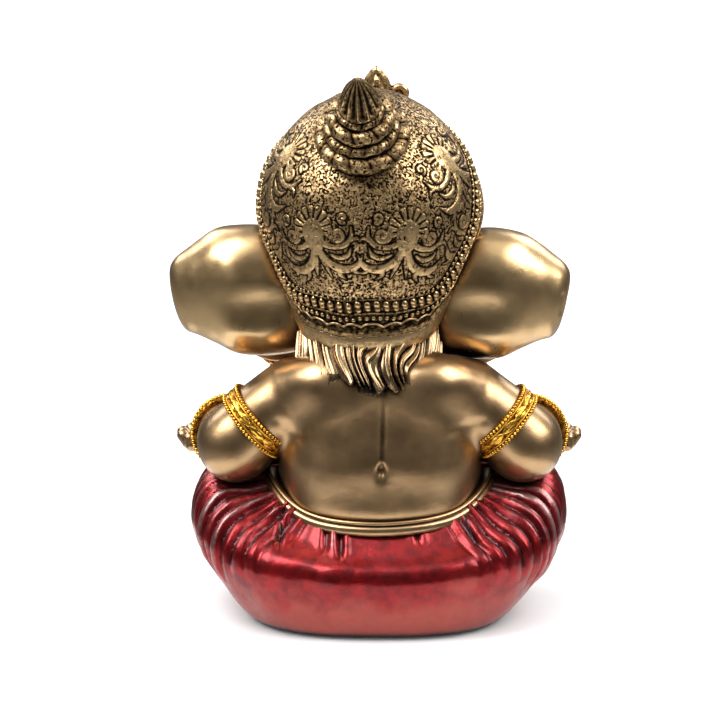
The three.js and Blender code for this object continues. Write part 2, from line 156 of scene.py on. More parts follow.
# ---------- fields: the signed distance to a form, negative inside ----------
def ellipsoid(p, centre, radii, turn=0.0):
    """turn is about Y, in radians."""
    q = p - centre
    if turn:
        c, s = math.cos(turn), math.sin(turn)
        q = np.stack([q[:, 0] * c - q[:, 2] * s, q[:, 1], q[:, 0] * s + q[:, 2] * c], -1)
    radii = np.array(radii, float)
    k0, k1 = length(q / radii), length(q / radii**2)
    return k0 * (k0 - 1) / np.maximum(k1, 1e-9)


def ball(p, centre, r):
    return length(p - centre) - r


def limb(p, a, b, ra, rb):
    """A bar with round ends, whose radius goes from ra to rb."""
    ab = b - a
    t = np.clip((p - a) @ ab / (ab @ ab), 0, 1)
    return length(p - a - t[:, None] * ab) - (ra + (rb - ra) * t)


def limbs(p, path, radii):
    """A chain of bars along a path."""
    radii = spread_out(radii, len(path))
    nearest = limb(p, path[0], path[1], radii[0], radii[1])
    for i in range(1, len(path) - 1):
        nearest = np.minimum(nearest, limb(p, path[i], path[i + 1], radii[i], radii[i + 1]))
    return nearest


def merge(a, b, soft):
    """Both forms in one, with a fillet of about the size soft where they meet."""
    h = np.clip(0.5 + 0.5 * (b - a) / soft, 0, 1)
    return b + (a - b) * h - soft * h * (1 - h)


def carve(a, b, soft):
    """a with b taken away."""
    return -merge(-a, b, soft)


def groove(p, path, width, depth):
    """How deep a soft groove along a path is at each point."""
    away = limbs(p, path, [0.0, 0.0])
    return depth * np.exp(-((away / width) ** 2))


# ---------- meshes ----------
class Shape:
    """Points in millimetres, faces of four or three corners, and a wear value for each point.

    Wear is 0 in a pit that holds patina, 0.5 on plain surface and 1 on a rubbed ridge.
    """

    def __init__(self, points, quads=None, triangles=None, wear=None):
        self.points = np.asarray(points, float)
        self.quads = np.zeros((0, 4), int) if quads is None else np.asarray(quads, int)
        self.triangles = np.zeros((0, 3), int) if triangles is None else np.asarray(triangles, int)
        self.wear = np.full(len(self.points), PLAIN) if wear is None else np.asarray(wear, float).ravel()

    def volume(self):
        q, t, p = self.quads, self.triangles, self.points - self.points.mean(0)
        corners = np.vstack([t, q[:, [0, 1, 2]], q[:, [0, 2, 3]]])
        a, b, c = (p[corners[:, i]] for i in range(3))
        return (a * np.cross(b, c)).sum() / 6

    def outward(self):
        if self.volume() < 0:
            self.quads, self.triangles = self.quads[:, ::-1], self.triangles[:, ::-1]
        return self

    def moved(self, place):
        return Shape(place(self.points), self.quads, self.triangles, self.wear)


def joined(shapes):
    """Several shapes as one."""
    first = np.cumsum([0] + [len(s.points) for s in shapes])
    return Shape(
        np.vstack([s.points for s in shapes]),
        np.vstack([s.quads + n for s, n in zip(shapes, first)]),
        np.vstack([s.triangles + n for s, n in zip(shapes, first)]),
        np.concatenate([s.wear for s in shapes]),
    )


def sheet(points, wear, wrap_rows=False):
    """A closed form from rows of points. Each row is a loop.

    The first and last rows are capped, or joined to each other if wrap_rows is set.
    """
    rows, columns = points.shape[:2]
    index = np.arange(rows * columns).reshape(rows, columns)
    if wrap_rows:
        index = np.vstack([index, index[:1]])
    across = np.roll(index, -1, axis=1)
    quads = np.stack([index[:-1], across[:-1], across[1:], index[1:]], -1).reshape(-1, 4)
    flat = points.reshape(-1, 3)
    wear = np.asarray(wear, float).ravel()
    triangles = None
    if not wrap_rows:
        n = len(flat)
        flat = np.vstack([flat, points[0].mean(0), points[-1].mean(0)])
        wear = np.concatenate([wear, [wear[:columns].mean(), wear[-columns:].mean()]])
        start = np.stack([np.full(columns, n), across[0], index[0]], -1)
        end = np.stack([np.full(columns, n + 1), index[-1], across[-1]], -1)
        triangles = np.vstack([start, end])
    return Shape(flat, quads, triangles, wear).outward()


def frames_along(path, closed=False):
    """Two directions across the path at each of its points, that don't spin about it."""
    ahead = np.roll(path, -1, 0) - np.roll(path, 1, 0)
    if not closed:
        ahead[0], ahead[-1] = path[1] - path[0], path[-1] - path[-2]
    ahead = unit(ahead)
    side = unit(np.cross(ahead[0], vec(0.31, 0.17, 0.94)))
    sides = []
    for direction in ahead:
        side = unit(side - (side @ direction) * direction)
        sides.append(side)
    sides = np.array(sides)
    return sides, np.cross(ahead, sides)


def tube(path, radii, sides, relief=None):
    """A round bar along a path. relief(share along, angle) adds to its radius."""
    path = np.asarray(path, float)
    radii = spread_out(radii, len(path))[:, None]
    across, other = frames_along(path)
    angle = around_circle(sides)[None, :]
    extra = np.zeros((len(path), sides))
    if relief is not None:
        extra = extra + relief(np.linspace(0, 1, len(path))[:, None], angle)
    r = radii + extra
    points = path[:, None] + (r * np.cos(angle))[..., None] * across[:, None]
    points = points + (r * np.sin(angle))[..., None] * other[:, None]
    return sheet(points, PLAIN + np.clip(extra * 1.2, -0.5, 0.5))


def beads(centres, ups, radii, rings=7, sides=10):
    """An egg-shaped bead at each centre. ups is the way its long axis points."""
    centres, ups = np.atleast_2d(centres), unit(np.atleast_2d(ups))
    across = unit(np.cross(ups, vec(0.21, 0.37, 0.9)))
    other = np.cross(ups, across)
    polar = np.linspace(0.02, math.pi - 0.02, rings)
    around = around_circle(sides)
    ball_x = np.sin(polar)[:, None] * np.cos(around)
    ball_y = np.sin(polar)[:, None] * np.sin(around)
    ball_z = np.cos(polar)[:, None] + 0 * around
    made = []
    for centre, a, b, up in zip(centres, across, other, ups):
        points = centre + radii[0] * (ball_x[..., None] * a + ball_y[..., None] * b)
        points = points + radii[1] * ball_z[..., None] * up
        made.append(sheet(points, np.full((rings, sides), 0.85)))
    return joined(made)


def ways_out(axis, angle):
    """The ways out from an axis at each angle round it."""
    side = unit(np.cross(axis, vec(0.2, 0.1, 1)))
    return np.cos(angle) * side + np.sin(angle) * np.cross(axis, side)


def ring(centre, axis, radius, count):
    """Points of a circle, and the ways out from its middle at each."""
    out = ways_out(unit(axis), around_circle(count)[:, None])
    return centre + radius * out, out


def moulding(path, out, up, section, wear):
    """A closed band along a closed path: section is (along up, along out) at each of its corners."""
    corners = np.array(section, float)[None]
    points = path[:, None] + corners[..., :1] * up[:, None] + corners[..., 1:] * out[:, None]
    return sheet(points, np.broadcast_to(wear, points.shape[:2]), wrap_rows=True)


def closed_cord(path, radius, wear):
    """A round cord along a closed path."""
    across, other = frames_along(path, closed=True)
    section = [(radius * math.cos(a), radius * math.sin(a)) for a in around_circle(10)]
    return moulding(path, across, other, section, wear)


def sculpt(field, low, high, step):
    """The surface where the field is zero, and the way it faces at each point.

    The field is sampled on a grid between the corners low and high. Blocks of the grid that the
    surface can't reach keep the value at their middle.
    """
    low, block = np.array(low, float), 5
    blocks = np.ceil((np.array(high) - low) / (step * block)).astype(int)
    lattice = lambda counts, first, gap: np.stack(
        np.meshgrid(*(low[i] + first + gap * np.arange(counts[i]) for i in range(3)), indexing="ij"), -1
    )
    rough = field(lattice(blocks, step * (block - 1) / 2, step * block).reshape(-1, 3)).reshape(blocks)
    for axis in range(3):
        rough = np.repeat(rough, block, axis)
    near = np.abs(rough) < step * block * 1.3 + 1.0
    rough[near] = field(lattice(blocks * block, 0, step)[near])
    grid = openvdb.FloatGrid()
    grid.copyFromArray(rough.astype(np.float32))
    points, quads = grid.convertToQuads(0.0)
    points = points.astype(float) * step + low
    for _ in range(2):
        value, slope = field(points), slope_of(field, points)
        move = value / np.maximum((slope**2).sum(-1), 0.05)
        points = points - np.clip(move, -step / 2, step / 2)[:, None] * slope
    return Shape(points, quads.astype(int)).outward(), unit(slope_of(field, points))


def slope_of(field, points):
    """The field's gradient at each point."""
    reach = 0.12
    steps = np.eye(3) * reach
    return np.stack([(field(points + s) - field(points - s)) / (2 * reach) for s in steps], -1)


def bend_of(field, points, normals, reach):
    """How hollow the surface is at each point: positive in creases, negative on ridges."""
    return (field(points + normals * reach) - reach) / -reach


def piece(name, shape, material, slot, *nodes):
    """A Blender object from a shape, in metres. It rides on the one body.

    It stands for the named CAD nodes, if any are given.
    """
    mesh = bpy.data.meshes.new(name)
    loops = np.concatenate([shape.quads.ravel(), shape.triangles.ravel()]).astype(np.int32)
    quads, triangles = len(shape.quads), len(shape.triangles)
    starts = np.concatenate([np.arange(quads) * 4, quads * 4 + np.arange(triangles) * 3]).astype(np.int32)
    mesh.vertices.add(len(shape.points))
    mesh.vertices.foreach_set("co", (shape.points * MM).astype(np.float32).ravel())
    mesh.loops.add(len(loops))
    mesh.loops.foreach_set("vertex_index", loops)
    mesh.polygons.add(quads + triangles)
    mesh.polygons.foreach_set("loop_start", starts)
    mesh.polygons.foreach_set("use_smooth", np.ones(quads + triangles, bool))
    mesh.update(calc_edges=True)
    wear = mesh.attributes.new("wear", "FLOAT", "POINT")
    wear.data.foreach_set("value", np.clip(shape.wear, 0, 1).astype(np.float32))
    mesh.materials.append(material)
    made = bpy.data.objects.new(name, mesh)
    bpy.context.scene.collection.objects.link(made)
    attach(made, "root")
    if nodes:
        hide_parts(*nodes)
    return made


# ---------- materials ----------
class Material:
    """A node material: add() makes a node, sets its properties and fills its inputs."""

    def __init__(self, name):
        self.made = bpy.data.materials.new(name)
        self.made.use_nodes = True
        self.tree = self.made.node_tree
        self.tree.nodes.clear()

    def add(self, kind, inputs, **settings):
        node = self.tree.nodes.new("ShaderNode" + kind)
        for key, value in settings.items():
            setattr(node, key, value)
        for key, value in inputs.items():
            if isinstance(value, bpy.types.NodeSocket):
                self.tree.links.new(value, node.inputs[key])
            else:
                node.inputs[key].default_value = value
        return node

    def noise(self, size, detail, rough=0.55):
        """Noise with features of about the given size in millimetres, from 0 to 1."""
        place = self.add("TexCoord", {}).outputs["Object"]
        scale = 1 / (size * MM)
        made = self.add("TexNoise", {"Vector": place, "Scale": scale, "Detail": detail, "Roughness": rough})
        return made.outputs["Fac"]

    def wear(self):
        return self.add("Attribute", {}, attribute_name="wear").outputs["Fac"]

    def occlusion_shade(self, reach):
        """1 in the open, towards 0 where other surfaces are within reach (in millimetres): a mask for
        painted shade.
        """
        return self.add("AmbientOcclusion", {"Distance": reach * MM}, samples=6).outputs["AO"]

    def spread(self, value, low, high, to_low=0.0, to_high=1.0):
        inputs = {"Value": value, "From Min": low, "From Max": high, "To Min": to_low, "To Max": to_high}
        return self.add("MapRange", inputs, interpolation_type="SMOOTHSTEP").outputs["Result"]

    def sum(self, a, b, operation="ADD"):
        return self.add("Math", {0: a, 1: b}, operation=operation).outputs[0]

    def mix(self, share, a, b):
        node = self.add("Mix", {}, data_type="RGBA")
        for socket, value in ((0, share), (6, a), (7, b)):
            if isinstance(value, bpy.types.NodeSocket):
                self.tree.links.new(value, node.inputs[socket])
            else:
                node.inputs[socket].default_value = (*value, 1) if isinstance(value, tuple) else value
        return node.outputs[2]

    def bump(self, height, depth, below=None):
        """depth is in millimetres."""
        inputs = {"Height": height, "Distance": depth * MM, "Strength": 1.0}
        if below is not None:
            inputs["Normal"] = below
        return self.add("Bump", inputs).outputs["Normal"]

    def surface(self, inputs):
        shader = self.add("BsdfPrincipled", inputs)
        output = self.tree.nodes.new("ShaderNodeOutputMaterial")
        self.tree.links.new(shader.outputs["BSDF"], output.inputs["Surface"])
        return self.made


def bronze(name, bright, dull, dark, smooth):
    """Satin bronze powder coat: cloudy tone, fine grain, dull low spots, and creases darkened by patina and
    by painted shade.

    smooth is the lowest roughness.
    """
    m = Material(name)
    cloudy = m.spread(m.noise(9, 3), 0.3, 0.7)
    tone = m.mix(m.sum(cloudy, 0.5, "MULTIPLY"), bright, dull)
    speckle = m.spread(m.noise(0.6, 1), 0.70, 0.78)
    tone = m.mix(m.sum(speckle, 0.22, "MULTIPLY"), tone, dark)
    # Patina where the form is hollow, and painted shade where other surfaces are near: both darken the
    # tone.
    clear_of_patina_and_shade = m.spread(m.sum(m.occlusion_shade(2.6), m.sum(m.wear(), 0.5, "SUBTRACT")), 0.35, 0.85)
    tone = m.mix(clear_of_patina_and_shade, dark, tone)
    rough = m.spread(m.noise(6, 2), 0.25, 0.75, smooth, smooth + 0.07)
    rough = m.sum(rough, m.sum(speckle, 0.12, "MULTIPLY"))
    skin = m.bump(m.noise(0.42, 2), 0.022, m.bump(m.noise(6, 2), 0.14))
    return m.surface({
        "Base Color": tone, "Metallic": 1.0, "Roughness": rough, "Normal": skin,
        "Coat Weight": 0.45, "Coat Roughness": 0.26,
    })


def antique(name, bright, brown, black):
    """Antique bronze: rubbed bright relief over a ground stippled with pits that hold near-black patina.

    The pits lie where wear is near 0.5, and thin out towards rubbed and sunken parts.
    """
    m = Material(name)
    wear = m.wear()
    ground = m.sum(m.spread(wear, 0.38, 0.46), m.spread(wear, 0.54, 0.62, 1.0, 0.0), "MULTIPLY")
    grit = m.spread(m.noise(0.66, 1.5, 0.5), 0.435, 0.525)
    patchy = m.spread(m.noise(7, 2), 0.35, 0.65, 0.7, 1.0)
    pitted = m.sum(m.sum(m.sum(1.0, grit, "SUBTRACT"), patchy, "MULTIPLY"), ground, "MULTIPLY")
    worn = m.sum(wear, m.spread(m.noise(1.1, 4), 0.3, 0.7, -0.13, 0.13))
    worn = m.sum(worn, m.sum(pitted, 0.5, "MULTIPLY"), "SUBTRACT")
    tone = m.mix(m.spread(worn, 0.36, 0.66), brown, bright)
    tone = m.mix(m.spread(worn, 0.06, 0.36), black, tone)
    # Painted shade: near-black where other surfaces are near.
    tone = m.mix(m.spread(m.occlusion_shade(1.5), 0.3, 0.8), black, tone)
    rough = m.spread(worn, 0.2, 0.7, 0.55, 0.28)
    grain = m.bump(m.noise(0.5, 3), 0.05, m.bump(pitted, -0.24))
    return m.surface({"Base Color": tone, "Metallic": 1.0, "Roughness": rough, "Normal": grain})


def gold(name):
    """Bright gold paint with a brown wash left in the pattern."""
    m = Material(name)
    worn = m.sum(m.wear(), m.spread(m.noise(0.9, 3), 0.3, 0.7, -0.14, 0.14))
    tone = m.mix(m.spread(worn, 0.32, 0.62), (0.55, 0.24, 0.022), (0.93, 0.50, 0.07))
    tone = m.mix(m.spread(worn, 0.06, 0.32), (0.08, 0.03, 0.006), tone)
    # Painted shade: dark brown where other surfaces are near.
    tone = m.mix(m.spread(m.occlusion_shade(1.2), 0.2, 0.7), (0.10, 0.04, 0.008), tone)
    rough = m.spread(worn, 0.2, 0.8, 0.45, 0.24)
    grain = m.bump(m.noise(0.45, 3), 0.05)
    return m.surface({"Base Color": tone, "Metallic": 1.0, "Roughness": rough, "Normal": grain})


def lacquer(name):
    """Metallic candy red over bronze: black in the folds, painted shade by nearby surfaces, ridges greyed
    by wear and painted highlight, and paler low down from dust and painted floor reflection.
    """
    m = Material(name)
    place = m.add("TexCoord", {}).outputs["Object"]
    height = m.add("SeparateXYZ", {"Vector": place}).outputs["Z"]
    cloudy = m.noise(11, 4)
    # Paler, rougher red towards the bottom: dust, and painted reflection of the pale floor.
    low_dust_and_reflection = m.spread(m.sum(height, m.sum(cloudy, 0.024, "MULTIPLY")), 0.018, 0.030, 1.0, 0.0)
    red = m.mix(m.spread(m.noise(4, 4), 0.35, 0.7), (0.245, 0.005, 0.007), (0.125, 0.003, 0.005))
    tone = m.mix(m.sum(low_dust_and_reflection, 0.8, "MULTIPLY"), red, (0.33, 0.062, 0.046))
    # Grey on the fold ridges: wear, and painted highlight.
    ridge = m.spread(m.sum(m.wear(), m.sum(m.noise(2.2, 4), 0.30, "MULTIPLY")), 0.74, 1.0)
    tone = m.mix(m.sum(ridge, 0.85, "MULTIPLY"), tone, (0.33, 0.20, 0.19))
    tone = m.mix(m.spread(m.wear(), 0.04, 0.30), (0.035, 0.006, 0.008), tone)
    # Painted shade: near-black where other surfaces are near.
    tone = m.mix(m.spread(m.occlusion_shade(3.0), 0.25, 0.75), (0.05, 0.006, 0.008), tone)
    rough = m.sum(m.spread(m.noise(2.5, 4), 0.3, 0.7, 0.28, 0.40), m.sum(low_dust_and_reflection, 0.16, "MULTIPLY"))
    grain = m.bump(m.noise(0.6, 2), 0.045, m.bump(m.noise(5, 4), 0.30))
    return m.surface({
        "Base Color": tone, "Metallic": 0.88, "Roughness": rough, "Normal": grain,
        "Coat Weight": 0.42, "Coat Roughness": 0.23,
    })


def felt(name):
    m = Material(name)
    fibre = m.noise(0.35, 6, 0.8)
    tone = m.mix(fibre, (0.012, 0.012, 0.013), (0.07, 0.068, 0.066))
    return m.surface({
        "Base Color": tone, "Roughness": 0.95, "Normal": m.bump(fibre, 0.25), "Sheen Weight": 0.4,
    })


def rod_brass(name):
    m = Material(name)
    drawn = m.noise(1.2, 5, 0.7)
    tone = m.mix(drawn, (0.42, 0.29, 0.11), (0.66, 0.49, 0.22))
    return m.surface({
        "Base Color": tone, "Metallic": 1.0, "Roughness": m.spread(drawn, 0.3, 0.7, 0.25, 0.42),
        "Normal": m.bump(drawn, 0.02),
    })


def plain_floor(name):
    m = Material(name)
    tone = m.mix(m.noise(60, 2), (0.61, 0.61, 0.61), (0.63, 0.63, 0.63))
    return m.surface({"Base Color": tone, "Roughness": 0.55})


BRONZE = bronze("bronze_skin", (0.47, 0.30, 0.147), (0.35, 0.212, 0.098), (0.065, 0.034, 0.014), 0.29)
EAR_BRONZE = bronze("warm_bronze", (0.66, 0.45, 0.222), (0.54, 0.35, 0.157), (0.12, 0.062, 0.022), 0.27)
HAIR_BRONZE = bronze("hair_bronze", (0.41, 0.275, 0.142), (0.28, 0.18, 0.088), (0.026, 0.014, 0.006), 0.22)
IVORY = bronze("tusk_bronze", (0.74, 0.60, 0.38), (0.62, 0.49, 0.30), (0.15, 0.09, 0.045), 0.26)
ANTIQUE = antique("antique_bronze", (0.61, 0.42, 0.208), (0.24, 0.15, 0.066), (0.008, 0.005, 0.003))
GOLD = gold("gold_trim")
LACQUER = lacquer("red_lacquer")
FELT = felt("base_felt")
ROD_BRASS = rod_brass("dowel_brass")


# ---------- the head's own frame ----------
TURN = np.array([
    [math.cos(HEAD_TURN), -math.sin(HEAD_TURN), 0],
    [math.sin(HEAD_TURN), math.cos(HEAD_TURN), 0],
    [0, 0, 1],
])


def from_head(points):
    """From the head's own frame to the figure's."""
    return points @ TURN.T + HEAD_CENTRE


# ---------- crown ----------
DOME_LINE = spline(DOME, 200)
DOME_POLAR = np.arctan2(DOME_LINE[:, 0], DOME_LINE[:, 1])[::-1]
DOME_REACH = length(DOME_LINE)[::-1]


def dome_radius(polar):
    return np.interp(polar, DOME_POLAR, DOME_REACH)


def on_dome(direction, proud=0.0):
    """The dome's surface in a direction from its centre."""
    d = unit(direction)
    polar = np.arccos(np.clip(d[..., 2], -1, 1))
    return d * (dome_radius(polar) + proud)[..., None]


def crown_rim():
    """The crown's lower edge on the dome, once round from the middle of the back."""
    edge = spline(CROWN_EDGE, 400)
    ring = np.interp(edge[:, 1], DOME_LINE[:, 1], DOME_LINE[:, 0])
    kept = np.abs(edge[:, 0]) < ring
    edge, ring = edge[kept], ring[kept]
    half = np.stack([np.sqrt(ring**2 - edge[:, 0] ** 2), edge[:, 0], edge[:, 1]], -1)
    half[0, 0] = half[-1, 0] = 0
    whole = np.vstack([half, half[-2:0:-1] * vec(-1, 1, 1)])
    return on_dome(spline(whole[::12], RIM_POINTS, closed=True))


RIM_POINTS = 480
RIM = crown_rim()
RIM_AHEAD = unit(np.roll(RIM, -1, 0) - np.roll(RIM, 1, 0))
RIM_IN = unit(np.cross(RIM_AHEAD, unit(RIM)))
RIM_IN = RIM_IN * np.sign(RIM_IN[0, 2])
RIM_AROUND = np.arctan2(RIM[:, 0], RIM[:, 1])
RIM_POLAR = np.arccos(RIM[:, 2] / length(RIM))
RIM_LENGTH = length(np.roll(RIM, -1, 0) - RIM).sum()
KNOB_AXIS = vec(0, math.sin(KNOB_TILT), math.cos(KNOB_TILT))


def above_rim(distance, proud=0.0, count=None):
    """A line on the dome at a distance above the rim; distance may differ along it."""
    line = on_dome(RIM + RIM_IN * np.reshape(distance, (-1, 1)), proud)
    return line if count is None else spline(line, count, closed=True)


def rim_clearance(points):
    """How far points on the dome are from the crown's edge, negative below it."""
    lowest = np.interp(np.arctan2(points[:, 0], points[:, 1]), RIM_AROUND, RIM_POLAR, period=FULL_TURN)
    away = np.full(len(points), np.inf)
    for spot in RIM[::3]:
        away = np.minimum(away, length(points - spot))
    return np.where(np.arccos(points[:, 2] / length(points)) < lowest, away, -away)


def stroke(points, widths, count=14):
    """A line of a pattern, as its points and its half width at each."""
    return spline(points, count), spread_out(widths, count)


def scroll(centre, start, sweep, radius, end_radius, widths):
    """A spiral line: angles in degrees, radii in millimetres."""
    count = 18
    angle = np.radians(start + np.linspace(0, sweep, count))
    r = np.linspace(radius, end_radius, count)
    line = np.array(centre) + np.stack([r * np.cos(angle), r * np.sin(angle)], -1)
    return line, spread_out(widths, count)


def medallion_strokes():
    """The scrolls and acanthus leaves of a medallion, in its own plane, about 25 mm across."""
    middle = [stroke([(0, -1.5), (0, -6.5)], [3.6, 2.8, 1.5])]
    right = [
        scroll((7.3, -1.9), 140, 500, 2.3, 0.4, [0.85, 0.8, 0.7, 0.6]),
        stroke(
            [(2.8, -4.4), (5.4, -5.4), (8.8, -5.2), (11.2, -3.0), (11.6, 0.2)],
            [1.0, 0.9, 0.85, 0.7, 0.25],
        ),
        scroll((9.4, 2.9), 280, -400, 1.5, 0.3, [0.6, 0.55, 0.45]),
        stroke([(10.6, -4.0), (12.6, -3.4), (13.8, -4.6)], [0.6, 0.55, 0.2], 10),
        stroke(
            [(1.0, -6.2), (2.6, -10.0), (6.4, -12.7), (10.8, -12.3), (13.4, -8.8)],
            [1.0, 1.35, 1.5, 1.15, 0.2],
        ),
        stroke([(3.8, -7.6), (6.4, -9.0), (9.2, -8.4), (10.6, -6.0)], [0.4, 0.85, 0.8, 0.2]),
        stroke([(5.4, -12.4), (5.2, -14.4), (6.6, -16.0)], [0.9, 0.8, 0.2], 10),
        stroke([(9.0, -12.8), (10.4, -14.4), (12.2, -14.8)], [0.8, 0.6, 0.2], 10),
        stroke([(0.5, -8.0), (1.7, -11.8), (2.4, -15.0)], [0.5, 0.8, 0.2], 10),
    ]
    left = [(line * (-1, 1), widths) for line, widths in right]
    return middle + right + left


def rosette(u, v):
    """The distance to the outline of a boss, with broad petals round its upper side between slits."""
    r, around = np.hypot(u, v), np.degrees(np.arctan2(u, v))
    off = np.abs(around / 22 - np.round(around / 22))
    upper = np.abs(around) < 121
    reach = 6.9 - 1.4 * (2 * off) ** 4 - 0.8 * (np.abs(around) / 90) ** 2
    outside = r - np.where(upper, reach, 3.6)
    slit = 0.21 - r * np.sin(np.radians((0.5 - off) * 22))
    return np.maximum(outside, np.where(upper, np.minimum(slit, (r - 3.3) * 0.7), -1))


# Where the medallions sit: degrees round from the middle of the back, degrees up, and their turn.
MEDALLIONS = [
    (side * around, up, side * turn)
    for around, up, turn in ((25, -3, -6), (74, 2, 0), (54, 34, 34))
    for side in (1, -1)
]
MEDALLION_HALF, MEDALLION_STEP = 17.0, 0.17  # half the side of its square skin, and the skin's grid
BORDER_HEIGHT = 16.4  # how far the bead border reaches above the rim


def renumbered(faces):
    """Which points the faces use, and the faces numbered by those points alone."""
    used, numbers = np.unique(faces, return_inverse=True)
    return used, numbers.reshape(faces.shape)


def medallions():
    """Low reliefs on the dome. Each is a skin that dips under the dome's surface outside its pattern."""
    count = int(2 * MEDALLION_HALF / MEDALLION_STEP)
    line = np.linspace(-MEDALLION_HALF, MEDALLION_HALF, count)
    u, v = (g.ravel() for g in np.meshgrid(line, line, indexing="ij"))
    p = np.stack([u, v], -1)
    edge = rosette(u, v)
    for path, widths in medallion_strokes():
        for a, b, wa, wb in zip(path[:-1], path[1:], widths[:-1], widths[1:]):
            ab = b - a
            t = np.clip((p - a) @ ab / max(ab @ ab, 1e-9), 0, 1)
            edge = np.minimum(edge, length(p - a - t[:, None] * ab) - (wa + (wb - wa) * t))
    top = 1 - fade(edge, -0.30, 0.02)
    ditch = 1 - fade(edge, 0.46, 0.60)
    round_top = 0.10 * fade(-edge, 0, 1.6) + 0.18 * np.exp(-(u**2 + v**2) / 12)
    height = -0.75 + 0.83 * ditch + (0.18 + round_top) * top
    wear = 0.02 + 0.58 * top
    kept = (edge < 0.75).reshape(count, count)
    index = np.arange(count * count).reshape(count, count)
    whole = kept[:-1, :-1] & kept[1:, :-1] & kept[1:, 1:] & kept[:-1, 1:]
    quads = np.stack([index[:-1, :-1], index[1:, :-1], index[1:, 1:], index[:-1, 1:]], -1)[whole]
    used, quads = renumbered(quads)
    u, v, height, wear = u[used], v[used], height[used], wear[used]
    for number, (around, up, turn) in enumerate(MEDALLIONS):
        a, e, t = (math.radians(x) for x in (around, up, turn))
        out = vec(math.sin(a) * math.cos(e), math.cos(a) * math.cos(e), math.sin(e))
        east = unit(np.cross(out, vec(0, 0, 1)))
        north = np.cross(east, out)
        x, y = u * math.cos(t) - v * math.sin(t), u * math.sin(t) + v * math.cos(t)
        angle = np.hypot(x, y)[:, None] / 32
        way = unit(x[:, None] * east + y[:, None] * north)
        direction = np.cos(angle) * out + np.sin(angle) * way
        points = on_dome(direction) + height[:, None] * direction
        clear = rim_clearance(points) > BORDER_HEIGHT
        used, faces = renumbered(quads[clear[quads].all(1)])
        shape = Shape(points[used], faces, None, (wear + 0.08 * noise(points, 1.2, 9))[used])
        piece("crown_medallion_" + str(number + 1), shape.moved(from_head), ANTIQUE, "antique_bronze")


def dome_relief(points, rim_distance):
    """Height of the cast ground over the plain dome, and its wear."""
    lumps = noise(points, 1.5, 5)
    smooth = 1 - fade(rim_distance, 17, 27)
    height = 0.09 * lumps + 0.05 * noise(points, 6, 7)
    wear = 0.50 + 0.05 * smooth + 0.03 * lumps
    # The ground behind the bead rows is sunk and dark.
    sunk = (1 - fade(rim_distance, 14.6, 15.8)) * fade(rim_distance, 0.5, 2)
    height = height * (1 - sunk) - 0.5 * sunk
    wear = wear * (1 - sunk) + sunk * (0.12 + 0.08 * noise(points, 0.8, 21))
    return height, wear


def crown_dome():
    """The crown's cast shell. Its rows run down the outside to the rim and back up inside."""
    columns, rows = 500, 180
    around = around_circle(columns)
    lowest = np.interp(around, RIM_AROUND, RIM_POLAR, period=FULL_TURN)
    share = np.linspace(0.004, 1, rows) ** 0.9
    polar = share[:, None] * lowest[None]
    across = np.sin(polar)
    direction = np.stack([across * np.sin(around), across * np.cos(around), np.cos(polar)], -1)
    flat = on_dome(direction).reshape(-1, 3)
    height, wear = dome_relief(flat, np.abs(rim_clearance(flat)))
    outside = flat + unit(flat) * height[:, None]
    inside = on_dome(direction[::-20], -2.1)
    points = np.vstack([outside.reshape(rows, columns, 3), inside])
    wears = np.concatenate([wear, np.full(inside.shape[0] * columns, 0.2)])
    shape = sheet(points, wears).moved(from_head)
    piece("crown_dome_embossed", shape, ANTIQUE, "antique_bronze", "crown_dome")


def band_on_rim(section, wear):
    """A moulding along the rim: section is (distance above the rim, proud of the dome) at each corner."""
    rows = [above_rim(up, out) for up, out in section]
    points = np.stack(rows, 1)
    wears = np.broadcast_to(np.array(wear), points.shape[:2])
    return sheet(points, wears, wrap_rows=True)


def cord_on_rim(distance, proud, radius, wear):
    """A round cord at a distance above the rim."""
    line = spline(above_rim(distance, proud), RIM_POINTS, closed=True)
    sides = around_circle(8)[None, :, None]
    out = unit(line)
    up = unit(np.cross(unit(np.roll(line, -1, 0) - np.roll(line, 1, 0)), out))
    points = line[:, None] + radius * (np.cos(sides) * out[:, None] + np.sin(sides) * up[:, None])
    return sheet(points, np.full(points.shape[:2], wear), wrap_rows=True)


